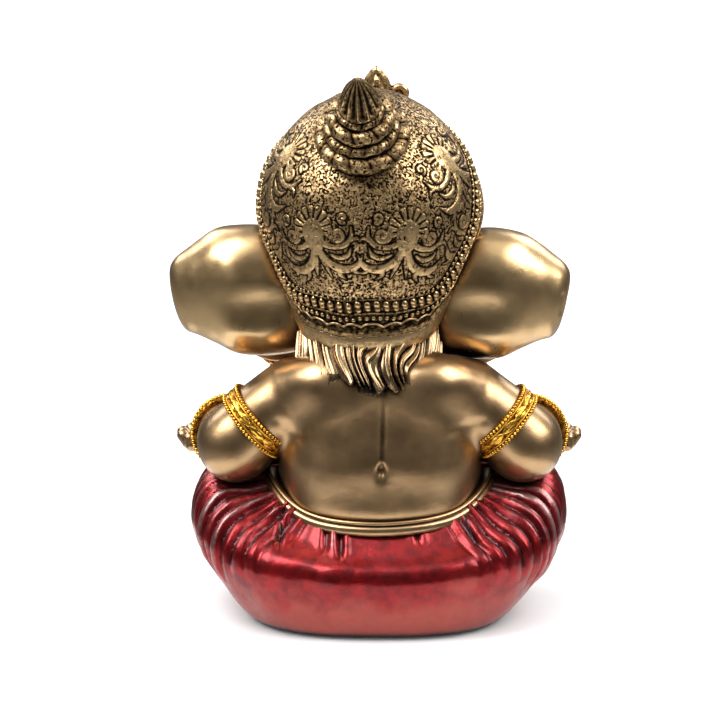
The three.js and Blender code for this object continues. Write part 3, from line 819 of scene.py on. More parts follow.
def crown_border():
    """The plain rim, with a wavy cord above it and rows of beads and drops over that."""
    section = [
        (-0.8, -2.0), (-1.3, 0.1), (-0.9, 0.85), (-0.2, 1.05),
        (1.4, 1.0), (2.6, 0.75), (3.0, 0.2), (3.0, -1.2),
    ]
    wear = [0.3, 0.5, 0.70, 0.64, 0.60, 0.66, 0.2, 0.1]
    turn = np.arange(len(RIM)) / len(RIM)
    arcs = round(RIM_LENGTH / 5.2)
    wave = 4.5 + 0.9 * np.abs(np.sin(math.pi * arcs * turn)) ** 0.8 + 0.25 * np.sin(FULL_TURN * 14 * turn)
    shapes = [
        band_on_rim(section, wear),
        cord_on_rim(wave, -0.1, 0.34, 0.62),
        cord_on_rim(8.3, -0.25, 0.30, 0.56),
        cord_on_rim(14.4, -0.2, 0.28, 0.56),
    ]
    piece("crown_rim", joined(shapes).moved(from_head), ANTIQUE, "antique_bronze", "crown_border")
    # Each row of beads: its distance above the rim, and the beads' half width, half height and spacing.
    rows = [(6.9, 0.62, 0.66, 1.9), (10.3, 0.85, 1.0, 2.7), (12.1, 1.0, 1.3, 2.7), (15.6, 0.42, 0.46, 1.7)]
    strung = []
    for distance, wide, tall, spacing in rows:
        count = int(RIM_LENGTH / spacing)
        centres = above_rim(distance, -0.05, count)
        ups = above_rim(distance + 1, -0.05, count) - centres
        uneven = chance(np.arange(count), count, int(distance * 10), 8)
        centres = centres + unit(ups) * (0.5 * uneven - 0.25)[:, None]
        row = beads(centres, ups, (wide, tall), 6, 9)
        row.wear = np.repeat(0.61 + 0.25 * uneven, len(row.points) // count)
        strung.append(row)
    piece("crown_bead_rows", joined(strung).moved(from_head), ANTIQUE, "antique_bronze")


def on_knob(radius, height, angle):
    """A point by its distance from the knob's axis, its height along it and its angle round it."""
    ahead = np.cross(KNOB_AXIS, vec(1, 0, 0))
    across = np.cos(angle)[..., None] * vec(1, 0, 0) + np.sin(angle)[..., None] * ahead
    return radius[..., None] * across + (KNOB_SEAT + height)[..., None] * KNOB_AXIS


def rope_ring(ring, height, thick, lobes, slant, depth):
    """A ring round the knob, twisted like a thick cord into long slanting lobes of uneven length."""
    angle = around_circle(lobes * 20)[:, None]
    turn = around_circle(24)[None]
    winding = lobes / 2 * angle + slant * turn + 0.5 * np.sin(2 * angle + ring)
    lobe = np.abs(np.sin(winding)) ** 0.55
    r = thick * (1 - depth + depth * lobe)
    uneven = 0.22 * np.sin(3 * angle + ring) + 0.12 * np.sin(7 * angle)
    points = on_knob(ring + r * np.cos(turn), height + uneven + r * np.sin(turn), angle + 0 * turn)
    return sheet(points, 0.04 + 0.64 * lobe * (1 + 0 * turn), wrap_rows=True)


def turned_on_knob(outline, flutes, depth, wear_low, wear_high, rows=40):
    """A form turned about the knob's axis from an outline of (radius, height), with flutes."""
    line = spline(outline, rows)
    angle = around_circle(max(flutes, 12) * 16)[None]
    ridge = 1 - np.abs(np.sin(flutes / 2 * angle)) ** 0.8 if flutes else 1 + 0 * angle
    reach = fade(line[:, 1:], line[:, 1].min() + 1.2, line[:, 1].min() + 2.6)
    r = line[:, :1] * (1 - depth * reach * (1 - ridge))
    points = on_knob(r, line[:, 1:] + 0 * angle, angle + 0 * r)
    wear = wear_low + (wear_high - wear_low) * ridge**0.6
    return sheet(points, wear * reach + 0.6 * (1 - reach))


def knob():
    """Three tiers: a ring of long lobes, a smaller one over it, and a bud with sharp flutes."""
    foot = [(9, -5), (11.6, -2), (11.0, 1.5), (9.2, 4.0), (7.6, 5.8), (6.6, 6.4)]
    neck = [(6.6, 6.0), (7.4, 8.4), (6.2, 10.8), (4.6, 13.0)]
    cone = [
        (4.2, 12.0), (5.4, 12.5), (5.9, 13.6), (5.6, 15.4),
        (4.5, 18.4), (3.0, 21.4), (1.3, 23.8), (0.35, 24.7),
    ]
    tiers = {
        "knob_lotus_ring": ("knob_lower_tier", [
            turned_on_knob(foot, 0, 0, 0.10, 0.10),
            rope_ring(10.7, 0.8, 2.45, 13, 0.32, 0.20),
            rope_ring(8.7, 4.2, 1.6, 15, -0.3, 0.22),
        ]),
        "knob_upper_ring": ("knob_upper_tier", [
            turned_on_knob(neck, 0, 0, 0.10, 0.10),
            rope_ring(7.0, 8.1, 2.25, 9, 0.32, 0.22),
            rope_ring(5.4, 11.2, 1.15, 11, -0.3, 0.22),
        ]),
        "knob_fluted_bud": ("knob_bud", [turned_on_knob(cone, 12, 0.20, 0.0, 0.80, 60)]),
    }
    for name, (node, shapes) in tiers.items():
        tier = joined(shapes)
        tier.wear = tier.wear - 0.09
        piece(name, tier.moved(from_head), ANTIQUE, "antique_bronze", node)


def crest():
    """The brow ornament: a leaf with a midrib and side scrolls, leaning back over the dome."""
    lean = math.radians(-13)
    heights = [13.5, 16, 20, 22.5, 24.5, 28.5, 31, 32.8, 35.4, 38, 39.4]
    halves = [10.5, 11.6, 11.8, 9.6, 7.6, 6.6, 5.0, 4.2, 3.2, 1.3, -0.8]
    foot = vec(0, -31.5, -1)
    bosses = ((8.3, 20.3, 3.3), (6.4, 30.8, 2.7), (5.2, 25.6, 2.2), (0, 20.6, 4.6))

    def field(p):
        q = p - foot
        up = q[:, 2] * math.cos(lean) - q[:, 1] * math.sin(lean)
        back = q[:, 1] * math.cos(lean) + q[:, 2] * math.sin(lean)
        x = np.abs(q[:, 0])
        half = np.interp(up, heights, halves)
        thick = np.clip(0.5 + 0.7 * (half - x), 0.5, np.interp(up, [27, 32], [1.1, 2.6]))
        veins = 0.16 * np.cos(FULL_TURN * (up - 1.1 * x) / 2.2) * fade(half - x, 2.2, 3.0)
        thick = thick + veins - 0.45 * np.exp(-(((half - x - 1.8) / 0.5) ** 2))
        leaf = np.maximum(np.maximum(x - half, 13.5 - up), (np.abs(back) - thick) * 0.8)
        leaf = merge(np.maximum(leaf, up - 39.2), ellipsoid(p, vec(0, -21.6, 19), (8.5, 5.0, 8)), 1)
        flat = np.stack([x, up], -1)
        for cx, cy, r in bosses:
            away = length(flat - vec(cx, cy))
            rim = np.hypot(away - r * 0.66, back) - 0.40 * r
            leaf = merge(leaf, np.minimum(rim, np.hypot(away, back * 0.8) - 0.42 * r), 0.35)
        rib = np.hypot(x, back) - np.interp(up, [25, 31, 38], [1.5, 2.2, 0.6])
        return merge(leaf, np.maximum(rib, np.abs(up - 31.5) - 6.5), 0.5)

    shape, normals = sculpt(field, (-13.5, -37, 10), (13.5, -12, 41), 0.35)
    hollow = bend_of(field, shape.points, normals, 0.8)
    shape.wear = 0.66 - 1.5 * np.clip(hollow, -0.3, 0.5) + 0.1 * noise(shape.points, 1.5, 4)
    along = np.linspace(-10, 10, 13)[:, None]
    studs = foot + along * vec(1, 0, 0) + 14.2 * vec(0, -math.sin(lean), math.cos(lean))
    row = beads(studs, vec(0, 1, 0) + 0 * studs, (0.95, 1.7), 9, 14)
    whole = joined([shape, row]).moved(from_head)
    piece("crown_crest_leaf", whole, ANTIQUE, "antique_bronze", "crown_crest")


# ---------- body ----------
def seat_dip(p):
    """How far the seat's top drops behind the waistband, so that the band shows."""
    across, back = np.abs(p[:, 0]) / WAIST_WIDTH, (p[:, 1] - WAIST_MIDDLE) / WAIST_DEPTH
    beyond = (np.hypot(across, back) - 1) * WAIST_DEPTH
    behind = fade(np.arctan2(back, across), -0.45, 0.25)
    return 5.6 * behind * (1 - fade(beyond, 4, 17)) * fade(p[:, 2], 4, 28)


SEAT_LINE = spline(np.array(SEAT, float), 80)


def seat_field(p):
    """The dhoti's plain form: the seat, with the thighs running out to the knees."""
    p = p + vec(0, 0, 1) * seat_dip(p)[:, None]
    z = p[:, 2]
    w, d, m = (np.interp(z, SEAT_LINE[:, 0], SEAT_LINE[:, i]) for i in (1, 2, 3))
    w = w * np.where(p[:, 0] < 0, np.interp(z, [14, 34], [0.955, 0.985]), 0.99)
    power = np.interp(z, [0, 20, 34], [2.6, 2.35, 2.1])
    k = (np.abs(p[:, 0] / w) ** power + np.abs((p[:, 1] - m) / d) ** power) ** (1 / power)
    body = (k - 1) * np.minimum(w, d) * 0.9
    body = -merge(-body, -(0.3 - z), 1.2)
    body = -merge(-body, -(z - 43), 4)
    for s in (1, -1):
        thigh = ellipsoid(p, vec(s * 35, -8.5, 24), (16.2, 15.5, 17))
        body = merge(body, thigh, 7)
        body = merge(body, limb(p, vec(s * 30, -2, 26), vec(s * 38, -17, 26.5), 14, 12.2), 5)
    lap = ellipsoid(p, vec(0, -24, 15), (22, 12, 13))
    body = merge(body, lap, 8)
    return -merge(-body, -(0.3 - z), 0.8)


# Nicks under the waistband behind: where each is, how it leans, its lower end and its depth.
NICKS = [
    (14.8, 0.10, 24.0, 1.0), (11.0, 0.0, 22.6, 1.4), (-9.9, -0.25, 25.6, 0.8),
    (-24.6, -0.5, 25.0, 0.9), (27.5, 0.1, 24.0, 0.7),
]


def pleats(p):
    """Height of the folds over the plain seat, and their wear."""
    side = np.where(p[:, 0] < 0, -1, 1)
    around = np.degrees(np.arctan2(p[:, 1] - 1, np.abs(p[:, 0])))
    drift = noise(p * vec(1, 1, 0.35), 16, 31) + 0.3 * noise(p * vec(1, 1, 0.5), 6, 32)
    count = around / (4.6 + 0.012 * around) + 0.30 * drift + 40 + np.where(side > 0, 0.3, 7.8)
    which = np.floor(count).astype(np.int64)
    bold = 0.6 + 0.5 * chance(which, which * 0, side, 5)
    ridge = np.abs(np.sin(math.pi * count)) ** 0.75
    fine = 0.5 + 0.5 * np.cos(FULL_TURN * (2.3 * count + drift))
    edge = 60 + 6 * noise(p, 14, 33)
    sideways = (1 - fade(around, edge - 12, edge)) * fade(around, -74, -56)
    drop = 6.0 + 15 * fade(around, 15, 55) + 5 * noise(p, 9, 34)
    strength = sideways * fade(p[:, 2], drop, drop + 12)
    high = strength * (2.1 * bold * ridge + 0.22 * fine - 1.25)
    # How much the grey on the ridges shows, most on the back sides: wear, and painted highlight.
    worn = fade(30 - around, -25, 25) * fade(around, -28, 0)
    wear = 0.5 + strength * (0.66 * ridge * bold * (0.35 + 0.65 * worn) - 0.34 + 0.10 * fine)
    wear = wear - 0.42 * strength * (1 - fade(ridge, 0.15, 0.55))
    behind = fade(p[:, 1], 5, 15)
    for x, lean, low, deep in NICKS:
        away = np.abs(p[:, 0] - x - lean * (30 - p[:, 2]))
        reach = fade(p[:, 2], low, low + 3) * behind
        cut = np.exp(-((away / 0.7) ** 2)) * reach
        lip = np.exp(-(((away - 1.8) / 1.1) ** 2)) * reach
        high = high - deep * cut + 0.4 * deep * lip
        wear = wear - 0.5 * cut + 0.10 * lip
    # Soft upright waves low on the seat.
    bearing = np.degrees(np.arctan2(p[:, 0], p[:, 1] - 1))
    waves = noise(np.stack([bearing / 9, p[:, 2] / 22, 0 * bearing], -1), 1, 35)
    high = high + 0.55 * waves * fade(p[:, 2], 2, 8) * (1 - fade(p[:, 2], 18, 28)) + 0.12 * noise(p, 5, 36)
    return high, wear


def dhoti():
    """The pleated seat and thighs, with a wavy hem round each knee."""
    shape, normals = sculpt(seat_field, (-56, -45, -1), (56, 43, 46), 0.55)
    high, wear = pleats(shape.points)
    grounded = fade(shape.points[:, 2], 0.2, 2.5)
    shape.points = shape.points + normals * (high * grounded)[:, None]
    shape.wear = wear
    hems = []
    for s in (1, -1):
        middle, ahead = vec(s * 37.6, -16.5, 26.4), unit(vec(s * 0.32, -0.94, 0.08))
        side = unit(np.cross(ahead, vec(0, 0, 1)))
        other = np.cross(side, ahead)
        angle = around_circle(180)[:, None]
        wavy = 12.9 + 0.35 * np.sin(9 * angle) + 0.2 * np.sin(17 * angle + 1)
        path = middle + wavy * (np.cos(angle) * side + np.sin(angle) * other)
        hems.append(closed_cord(path, 0.95, 0.45))
    piece("pleated_dhoti", joined([shape] + hems), LACQUER, "red_lacquer", "dhoti")


def torso_field(p):
    """The bare back, belly and shoulders, out to the armlets and down into the waistband."""
    body = ellipsoid(p, vec(0, 7, 47), (28.6, 24.5, 22))
    body = merge(body, ellipsoid(p, vec(0, -3.5, 45), (25, 25.5, 19)), 6)
    body = merge(body, ellipsoid(p, vec(0, 8.5, 60), (26.5, 19, 15.5)), 7)
    body = merge(body, ellipsoid(p, vec(0, -8, 62), (17, 12, 9)), 7)
    body = merge(body, ellipsoid(p, vec(0, 4.5, 34), (29.6, 26.2, 12)), 6)
    for s in (1, -1):
        shoulder, armlet = mirrored(SHOULDER, s), mirrored(ARMLET, s)
        beyond = armlet + 1.2 * unit(armlet - shoulder)
        arm = limb(p, shoulder - vec(s * 2, 0, -1.5), beyond, 11.6, ARMLET_RADIUS - 0.3)
        arm = np.maximum(arm, (p - beyond) @ unit(armlet - shoulder))
        body = merge(body, arm, 3.2)
        body = merge(body, ellipsoid(p, vec(s * 13, 16, 69), (13, 9.5, 8)), 5)
        body = merge(body, ellipsoid(p, vec(s * 9.5, -14, 63), (9.5, 6, 7)), 4)
    body = merge(body, limb(p, vec(0.5, 5, 66), vec(1.5, 3, 82), 16.5, 14.5), 6)
    body = carve(body, ellipsoid(p, vec(0, -29.5, 44.5), (2.2, 3.2, 1.5)), 1.6)
    return body + back_modelling(p)


def back_modelling(p):
    """Hollows of the back: the spine, the dimple at its foot and the creases by the armpits.

    Soft swellings lie between them.
    """
    x, z, behind = p[:, 0], p[:, 2], fade(p[:, 1], 4, 16)
    off_spine = x + 0.3 + 0.03 * (z - 48)
    spine = fade(z, 48, 56) * (1 - fade(z, 58, 72))
    depth = spine * (0.45 * np.exp(-((off_spine / 1.1) ** 2)) + 0.55 * np.exp(-((off_spine / 5) ** 2)))
    narrow = 1.35 - 0.75 * fade(z, 46.5, 50.5)
    depth = depth + 1.7 * np.exp(-((off_spine / narrow) ** 2) - ((z - 47.2) / 2.4) ** 2)
    flat = p * vec(1, 0, 1)
    left = [vec(28.5, 0, 58.5), vec(26, 0, 56.5), vec(22.4, 0, 54), vec(16.8, 0, 53.1)]
    right = [vec(-28.5, 0, 58.5), vec(-24, 0, 57.4), vec(-19.5, 0, 56.5), vec(-15, 0, 56.3)]
    for path in (left, right):
        depth = depth + groove(flat, path[:3], 1.4, 0.22) + groove(flat, path[1:], 3.6, 0.12)
    for spot_x, spot_z, swell, wide in ((19, 43.6, 1.1, 8.5), (15, 62, 0.7, 9)):
        depth = depth - swell * np.exp(-(((np.abs(x) - spot_x) ** 2 + (z - spot_z) ** 2) / wide**2))
    return depth * behind


def skin_wear(field, shape, normals):
    """Wear from the form itself: low in creases and high on ridges."""
    hollow = bend_of(field, shape.points, normals, 1.1)
    return np.clip(0.52 - 0.8 * hollow, 0.0, 0.85) + 0.06 * noise(shape.points, 6, 1)


def sculpted(name, field, box, step, material, slot, node, place=None, rough=0.0, stain=None):
    """A piece from a field, within a box of two corners, on a grid with the given step.

    rough is the height of its soft lumps, and stain(points) darkens it.
    """
    shape, normals = sculpt(field, *box, step)
    shape.wear = skin_wear(field, shape, normals)
    if stain:
        shape.wear = shape.wear - stain(shape.points)
    if rough:
        shape.points = shape.points + normals * (rough * noise(shape.points, 7, 8))[:, None]
    piece(name, shape.moved(place) if place else shape, material, slot, node)


def back_stain(p):
    """Patina left in the spine's hollow, its dimple and the creases by the armpits."""
    x, z = p[:, 0], p[:, 2]
    off_spine = x + 0.3 + 0.03 * (z - 48)
    spine = 0.42 * np.exp(-((off_spine / 0.9) ** 2)) * fade(z, 45, 48) * (1 - 0.8 * fade(z, 52, 70))
    spine = spine + 0.14 * np.exp(-((off_spine / 3) ** 2)) * fade(z, 44, 52) * (1 - fade(z, 60, 72))
    creases = sum(0.4 * np.exp(-(np.hypot(x - s * 29.2, z - 57.5) / 2.6) ** 2) for s in (1, -1))
    return (spine + creases) * fade(p[:, 1], 4, 16)


def torso():
    box = (-44, -36, 24), (44, 38, 85)
    sculpted(
        "bare_torso", torso_field, box, 0.7, BRONZE, "bronze_skin", "torso", rough=0.12, stain=back_stain
    )


def arm_field(side):
    """An arm from its armlet to just past the wrist."""
    armlet, elbow, wrist = (mirrored(v, side) for v in (ARMLET, ELBOW, WRIST))
    start = armlet - 1.2 * unit(elbow - armlet)
    end = wrist + vec(side * 0.5, -3.2, -0.6)

    def field(p):
        inner_elbow = elbow - vec(side * 1.6, 0, 1.2)
        arm = limb(p, start, inner_elbow, ARMLET_RADIUS - 0.4, 10.2)
        arm = np.maximum(arm, (start - p) @ unit(elbow - armlet))
        fore = ellipsoid(p, vec(side * 40.3, 0.5, 48.6), (11, 12.6, 10.2))
        fore = merge(fore, limb(p, inner_elbow, wrist, 9.6, WRIST_RADIUS - 0.9), 3)
        fore = merge(fore, limb(p, wrist, end, WRIST_RADIUS - 0.8, WRIST_RADIUS - 1.6), 1)
        arm = merge(arm, fore, 3.5)
        inner = [vec(side * 33.5, 1, 58), vec(side * 32.5, -1, 52), vec(side * 33.5, -1, 46)]
        return arm + groove(p, inner, 1.4, 1.0)

    return field


def hand_field(side):
    """An open hand, palm up, with four fingers pointing outwards and the thumb ahead."""
    palm, wrist = mirrored(PALM, side), mirrored(WRIST, side)

    def field(p):
        hand = limb(p, wrist + vec(0, -1, 0), palm + vec(0, 3, 0.4), 7.6, 5.4)
        hand = merge(hand, ellipsoid(p, palm, (8.0, 8.4, 4.2)), 2.5)
        hand = merge(hand, ellipsoid(p, palm + vec(-side * 3.4, -3.2, 1.2), (3.9, 5.0, 3.2)), 2)
        hand = carve(hand, ellipsoid(p, palm + vec(side * 0.8, -0.6, 5.4), (4.8, 4.8, 2.6)), 2)
        for along, reach in ((-5.6, 9.0), (-1.9, 11.2), (1.9, 11.0), (5.5, 8.8)):
            root = palm + vec(side * 4.2, along * 0.9, -0.4)
            middle = palm + vec(side * (4.2 + 0.55 * (reach - 2)), along * 1.02, -0.3)
            tip = palm + vec(side * reach, along * 1.12 - 0.8, 1.5)
            finger = limbs(p, [root, middle, tip], [2.25, 2.15, 1.75])
            finger = finger + 0.16 * np.exp(-(((p - middle) @ vec(side, 0, 0.1) / 0.5) ** 2))
            hand = merge(hand, finger, 0.55)
        root, tip = palm + vec(-side * 3.4, -5.2, 1.2), palm + vec(side * 1.4, -8.9, 3.4)
        knuckle = (root + tip) / 2 + vec(0, -0.8, 0.4)
        hand = merge(hand, limbs(p, [root, knuckle, tip], [2.7, 2.4, 1.8]), 0.9)
        for line in (((-3, 3.5), (1, 1.5), (4.5, 3.0)), ((-2.5, 0.8), (1, -1.4), (4.5, -1.8))):
            path = [palm + vec(side * a, b, 3.4) for a, b in line]
            hand = hand + groove(p, path, 0.8, 0.35)
        return hand

    return field


def leg_field(side):
    """A bent leg from the knee to just past the ankle, with two creases above the anklet."""
    knee, ankle = mirrored(KNEE, side), mirrored(ANKLE, side)
    heel = ankle + 0.8 * unit(ankle - knee)
    cap = knee + (vec(-2.4, 0.5, 2.8) if side < 0 else vec(0.8, 0, 0.5))

    def field(p):
        leg = merge(ball(p, knee, 11.8), ball(p, cap, 11.6), 3)
        leg = merge(leg, limb(p, knee, heel, 11.0, ANKLE_RADIUS - 0.2), 3)
        calf = knee + 0.42 * (ankle - knee) + vec(0, 1, -0.5)
        leg = merge(leg, ellipsoid(p, calf, (14, 9.8, 10), side * 0.43), 4)
        leg = leg - 0.8 * np.exp(-((length(p - knee - vec(side * 3, -10.5, 2)) / 4) ** 2))
        for share in (0.72, 0.82):
            middle = knee + share * (ankle - knee)
            away = (p - middle) @ unit(ankle - knee)
            leg = leg + 0.55 * np.exp(-((away / 0.8) ** 2))
        return leg

    return field


def foot_field(side):
    """A foot standing on its side with five toes. It ends at the middle plane."""
    def field(p):
        foot = ellipsoid(p, vec(side * 4.7, -37.5, 11.5), (4.4, 9.6, 7.6))
        foot = merge(foot, ellipsoid(p, vec(side * 5.6, -30.5, 9.8), (5.0, 5.8, 5.8)), 3)
        foot = carve(foot, ellipsoid(p, vec(side * -1.2, -37, 11), (2.2, 5, 4)), 2)
        for i, r in enumerate((2.5, 1.95, 1.85, 1.7, 1.55)):
            z = 17.4 - 3.15 * i
            y = -46.4 + 1.15 * i
            root, middle = vec(side * 4.3, y + 5, z - 0.3), vec(side * 4.1, y + 1.6, z)
            toe = limbs(p, [root, middle, vec(side * 3.9, y, z + 0.5)], [r, r * 0.92, r])
            nail = ellipsoid(p, vec(side * 4.5, y - r * 0.75, z + 1.2), (r * 0.6, r * 0.5, r * 0.55))
            foot = merge(foot, carve(toe, nail, 0.25), 0.5)
        return np.maximum(foot, 0.2 - side * p[:, 0])

    return field


def sided_box(side, low, high):
    """A box given for the left side, or its mirror image on the right."""
    near, far = sorted((side * low[0], side * high[0]))
    return (near, *low[1:]), (far, *high[1:])


def limbs_of_the_body():
    kinds = (
        ("bare", "arm", arm_field, (25, -24, 33), (56, 24, 70), 0.55, 0.1),
        ("open", "hand", hand_field, (32, -38, 34), (60, -8, 58), 0.38, 0.0),
        ("bare", "leg", leg_field, (1, -42, 2), (54, -4, 40), 0.6, 0.1),
        ("bare", "foot", foot_field, (-1, -52, 1), (13, -23, 24), 0.36, 0.0),
    )
    for side, name in SIDES:
        for look, part, field, low, high, step, rough in kinds:
            sculpted(
                f"{name}_{look}_{part}", field(side), sided_box(side, low, high), step,
                BRONZE, "bronze_skin", f"{name}_{part}", rough=rough,
            )


# ---------- head ----------
TRUNK_POINTS = 60
TRUNK_PATH = spline([
    (0, -25, -8), (0, -31, -17), (0, -35.4, -27), (0.6, -37.6, -38), (3, -38.6, -49), (9, -38.6, -56.3),
    (16, -37.6, -56), (18.8, -37, -49.5), (15.8, -37, -46),
], TRUNK_POINTS)
TRUNK_RADII = np.interp(
    np.linspace(0, 1, TRUNK_POINTS), [0, 0.12, 0.3, 0.5, 0.7, 0.85, 1], [10.6, 9.4, 8.0, 6.8, 5.5, 4.5, 3.5]
)
TRUNK_SPLIT = 11  # the point of the path where the head's casting ends and the trunk's begins


def head_field(p):
    """The face, with the root of the trunk, and the filling under the crown."""
    face = ellipsoid(p, vec(0, -9, -8), (24, 19, 20))
    crown_filling = np.maximum(ellipsoid(p, vec(0, 0, 0), (28.0, 26, 25.5)), p[:, 1] - 6)
    face = merge(face, crown_filling, 4)
    for s in (1, -1):
        face = merge(face, ellipsoid(p, vec(s * 8.5, -20, 4), (10.5, 9, 11)), 6)
        face = merge(face, ellipsoid(p, vec(s * 12, -15, -20), (10, 10.5, 11)), 5)
        face = merge(face, limb(p, vec(s * 7, -20, -22), vec(s * 9.3, -27, -26.5), 5.2, 4.4), 3)
    face = merge(face, ellipsoid(p, vec(0, -9, -29), (15, 14, 11)), 5)
    root = limbs(p, TRUNK_PATH[: TRUNK_SPLIT + 2], TRUNK_RADII[: TRUNK_SPLIT + 2])
    ahead = unit(TRUNK_PATH[TRUNK_SPLIT + 1] - TRUNK_PATH[TRUNK_SPLIT])
    root = np.maximum(root, (p - TRUNK_PATH[TRUNK_SPLIT]) @ ahead)
    face = merge(face, root, 3.0)
    lip = ellipsoid(p, vec(1.5, -22.5, -34), (6.2, 6.5, 3.6))
    face = merge(face, lip, 2.5)
    mouth = [vec(-8, -24, -30.5), vec(-4, -27.5, -31.5), vec(5, -27.5, -31.5), vec(9, -24, -30.2)]
    face = face + groove(p, mouth, 0.9, 1.1)
    for s in (1, -1):
        eye = vec(s * 12.6, -25.2, -8.5)
        face = carve(face, ellipsoid(p, eye + vec(s * 0.8, -2.2, 0), (4.6, 3.4, 3.3)), 1.4)
        face = merge(face, ball(p, eye + vec(0, 1.0, 0), 3.7), 0.25)
        upper = [(-4.6, 1.2, 0.2), (-1, -1.6, 3.2), (3.4, 0.4, 2.4), (5.4, 3.4, -0.4)]
        lower = [upper[0], (-1, -1.4, -3.0), (3.2, 0.6, -2.3), upper[3]]
        for lid, radii in ((upper, [0.5, 1.0, 0.9, 0.5]), (lower, [0.4, 0.8, 0.7, 0.4])):
            line = spline([eye + vec(s * x, y, z) for x, y, z in lid], 9)
            face = merge(face, limbs(p, line, radii), 0.7)
        for out in (6.4, 8.2):
            fold = [(out, 3.8, 2.6), (out + 0.6, 4.4, -0.4), (out - 0.2, 4.0, -3.6)]
            line = spline([eye + vec(s * x, y, z) for x, y, z in fold], 6)
            face = face + groove(p, line, 0.55, 0.35)
    face = carve(face, ellipsoid(p, vec(0, -30.5, 2.5), (2.4, 3, 5)), 3)
    return face


def head():
    box = (-30, -46, -44), (30, 14, 29)
    sculpted("elephant_face", head_field, box, 0.6, BRONZE, "bronze_skin", "head", from_head, rough=0.08)


def trunk():
    """The trunk's tube, ringed with wrinkles, ending in two nostrils."""
    radii = TRUNK_RADII[TRUNK_SPLIT:]
    path = spline(TRUNK_PATH[TRUNK_SPLIT:], 260)

    def wrinkles(share, angle):
        rings = 46 * share**0.94 + 0.35 * np.sin(2 * angle + 9 * share)
        rings = rings + 0.2 * np.sin(3 * angle + 31 * share)
        ridge = np.abs(np.sin(math.pi * rings)) ** 0.55
        fading = 0.45 + 0.55 * np.sin(0.5 * angle + 0.4) ** 2
        return 0.46 * (ridge - 1) * fading * (1 - 0.35 * share)

    body = tube(path, radii, 64, relief=wrinkles)
    across, other = frames_along(path)
    tip, ahead = path[-1], unit(path[-1] - path[-4])
    lip_angle = around_circle(40)[:, None]
    lip = tip + 2.75 * (np.cos(lip_angle) * across[-1] + np.sin(lip_angle) * other[-1]) + 0.2 * ahead
    rim = tube(np.vstack([lip, lip[:1]]), [0.85], 10)
    nostrils = [beads(tip + ahead * 0.35 + s * 1.15 * across[-1], ahead, (0.72, 0.5)) for s in (1, -1)]
    # The nostrils are dark beads: painted shade of the nostril holes, with the patina such holes hold.
    for nostril in nostrils:
        nostril.wear[:] = 0.0
    bent = [tip + 2.2 * other[-1], tip + 2.9 * other[-1] + 1.6 * ahead, tip + 2.0 * other[-1] + 2.9 * ahead]
    finger = tube(spline(bent, 12), [1.3, 1.1, 0.5], 14)
    whole = joined([body, rim, finger] + nostrils).moved(from_head)
    piece("wrinkled_trunk", whole, BRONZE, "bronze_skin", "trunk")


def tusks():
    """The whole left tusk and the broken right one, each in a ring of gum."""
    for name, state, path, radii in (
        ("left", "whole", [
            (8.6, -25.5, -25.4), (11.4, -30.5, -31), (14.4, -33.8, -36), (16.0, -35.4, -38.4),
        ], [3.1, 2.7, 1.7, 0.35]),
        ("right", "broken", [
            (-8.6, -25.5, -25.4), (-10.4, -29, -29.4), (-12.2, -32.2, -33.4),
        ], [3.1, 2.8, 2.3]),
    ):
        line = spline(path, 60)
        tusk = tube(line, radii, 28, relief=lambda share, _: 0.10 * np.sin(60 * share) * (share < 0.35))
        around, _ = ring(line[8], vec(*path[1]) - vec(*path[0]), 3.3, 60)
        whole = joined([tusk, closed_cord(around, 0.7, 0.5)]).moved(from_head)
        piece(f"{name}_tusk_{state}", whole, IVORY, "bronze_skin", name + "_tusk")


# The ear's outline along its length: distance out, top, bottom, back and front.
EAR = [
    (16, -12.5, -41.5, 1, -12), (20, -9.5, -42.4, 3, -14), (25, -7.8, -43.1, 5, -16.4),
    (30, -6.5, -43.5, 6, -18), (36.7, -6.7, -43, 6.5, -20), (42.5, -7.9, -40.6, 4.4, -20),
    (47.7, -11.3, -38.5, 1.6, -20), (52.2, -15.0, -37.7, -1.4, -19), (56, -17.9, -37, -3.6, -18),
    (60, -20, -36.4, -5, -17),
]
EAR_LINE = spline(EAR, 120)


def ear_field(side):
    """A thick ear, swollen by the head, narrowing outwards to a blunt end, and cupped in front."""
    at = lambda x, y, z: vec(side * x, y, z)
    stretch = 1.035 if side > 0 else 1.0

    def field(p):
        x = side * p[:, 0] / stretch
        top, low, back, front = (np.interp(x, EAR_LINE[:, 0], EAR_LINE[:, i]) for i in (1, 2, 3, 4))
        deep, tall = (back - front) / 2, (top - low) / 2
        k = np.abs((p[:, 1] - (back + front) / 2) / deep) ** 2.2
        k = k + np.abs((p[:, 2] - (top + low) / 2) / tall) ** 2.2
        ear = (k ** (1 / 2.2) - 1) * np.minimum(deep, tall) * 0.85
        ear = -merge(-ear, -(x - np.interp(p[:, 2], [-37, -19], [52.8, 56.4])), 3.4)
        ear = np.maximum(ear, 17 - x)
        ear = merge(ear, ellipsoid(p, at(27, -15.5, -39), (11.5, 3.4, 8.6)), 3)
        ear = carve(ear, ellipsoid(p, at(40.5, -22, -26.5), (14.5, 17, 14.5)), 3.2)
        # Behind, a hollow runs out from the head under the swelling, and a nick sits by the end.
        ear = carve(ear, ellipsoid(p, at(28, 12.0, -28.5), (17, 6.0, 4.4)), 6)
        return ear + groove(p, [at(53.8, -3.4, -24.8), at(53.4, -3.6, -29.4)], 0.8, 0.45)

    return field


def ears():
    for side, name in SIDES:
        box = sided_box(side, (10, -30, -50), (61, 10, -2))
        sculpted(
            name + "_wide_ear", ear_field(side), box, 0.6,
            EAR_BRONZE, "bronze_skin", name + "_ear", from_head, rough=0.22,
        )


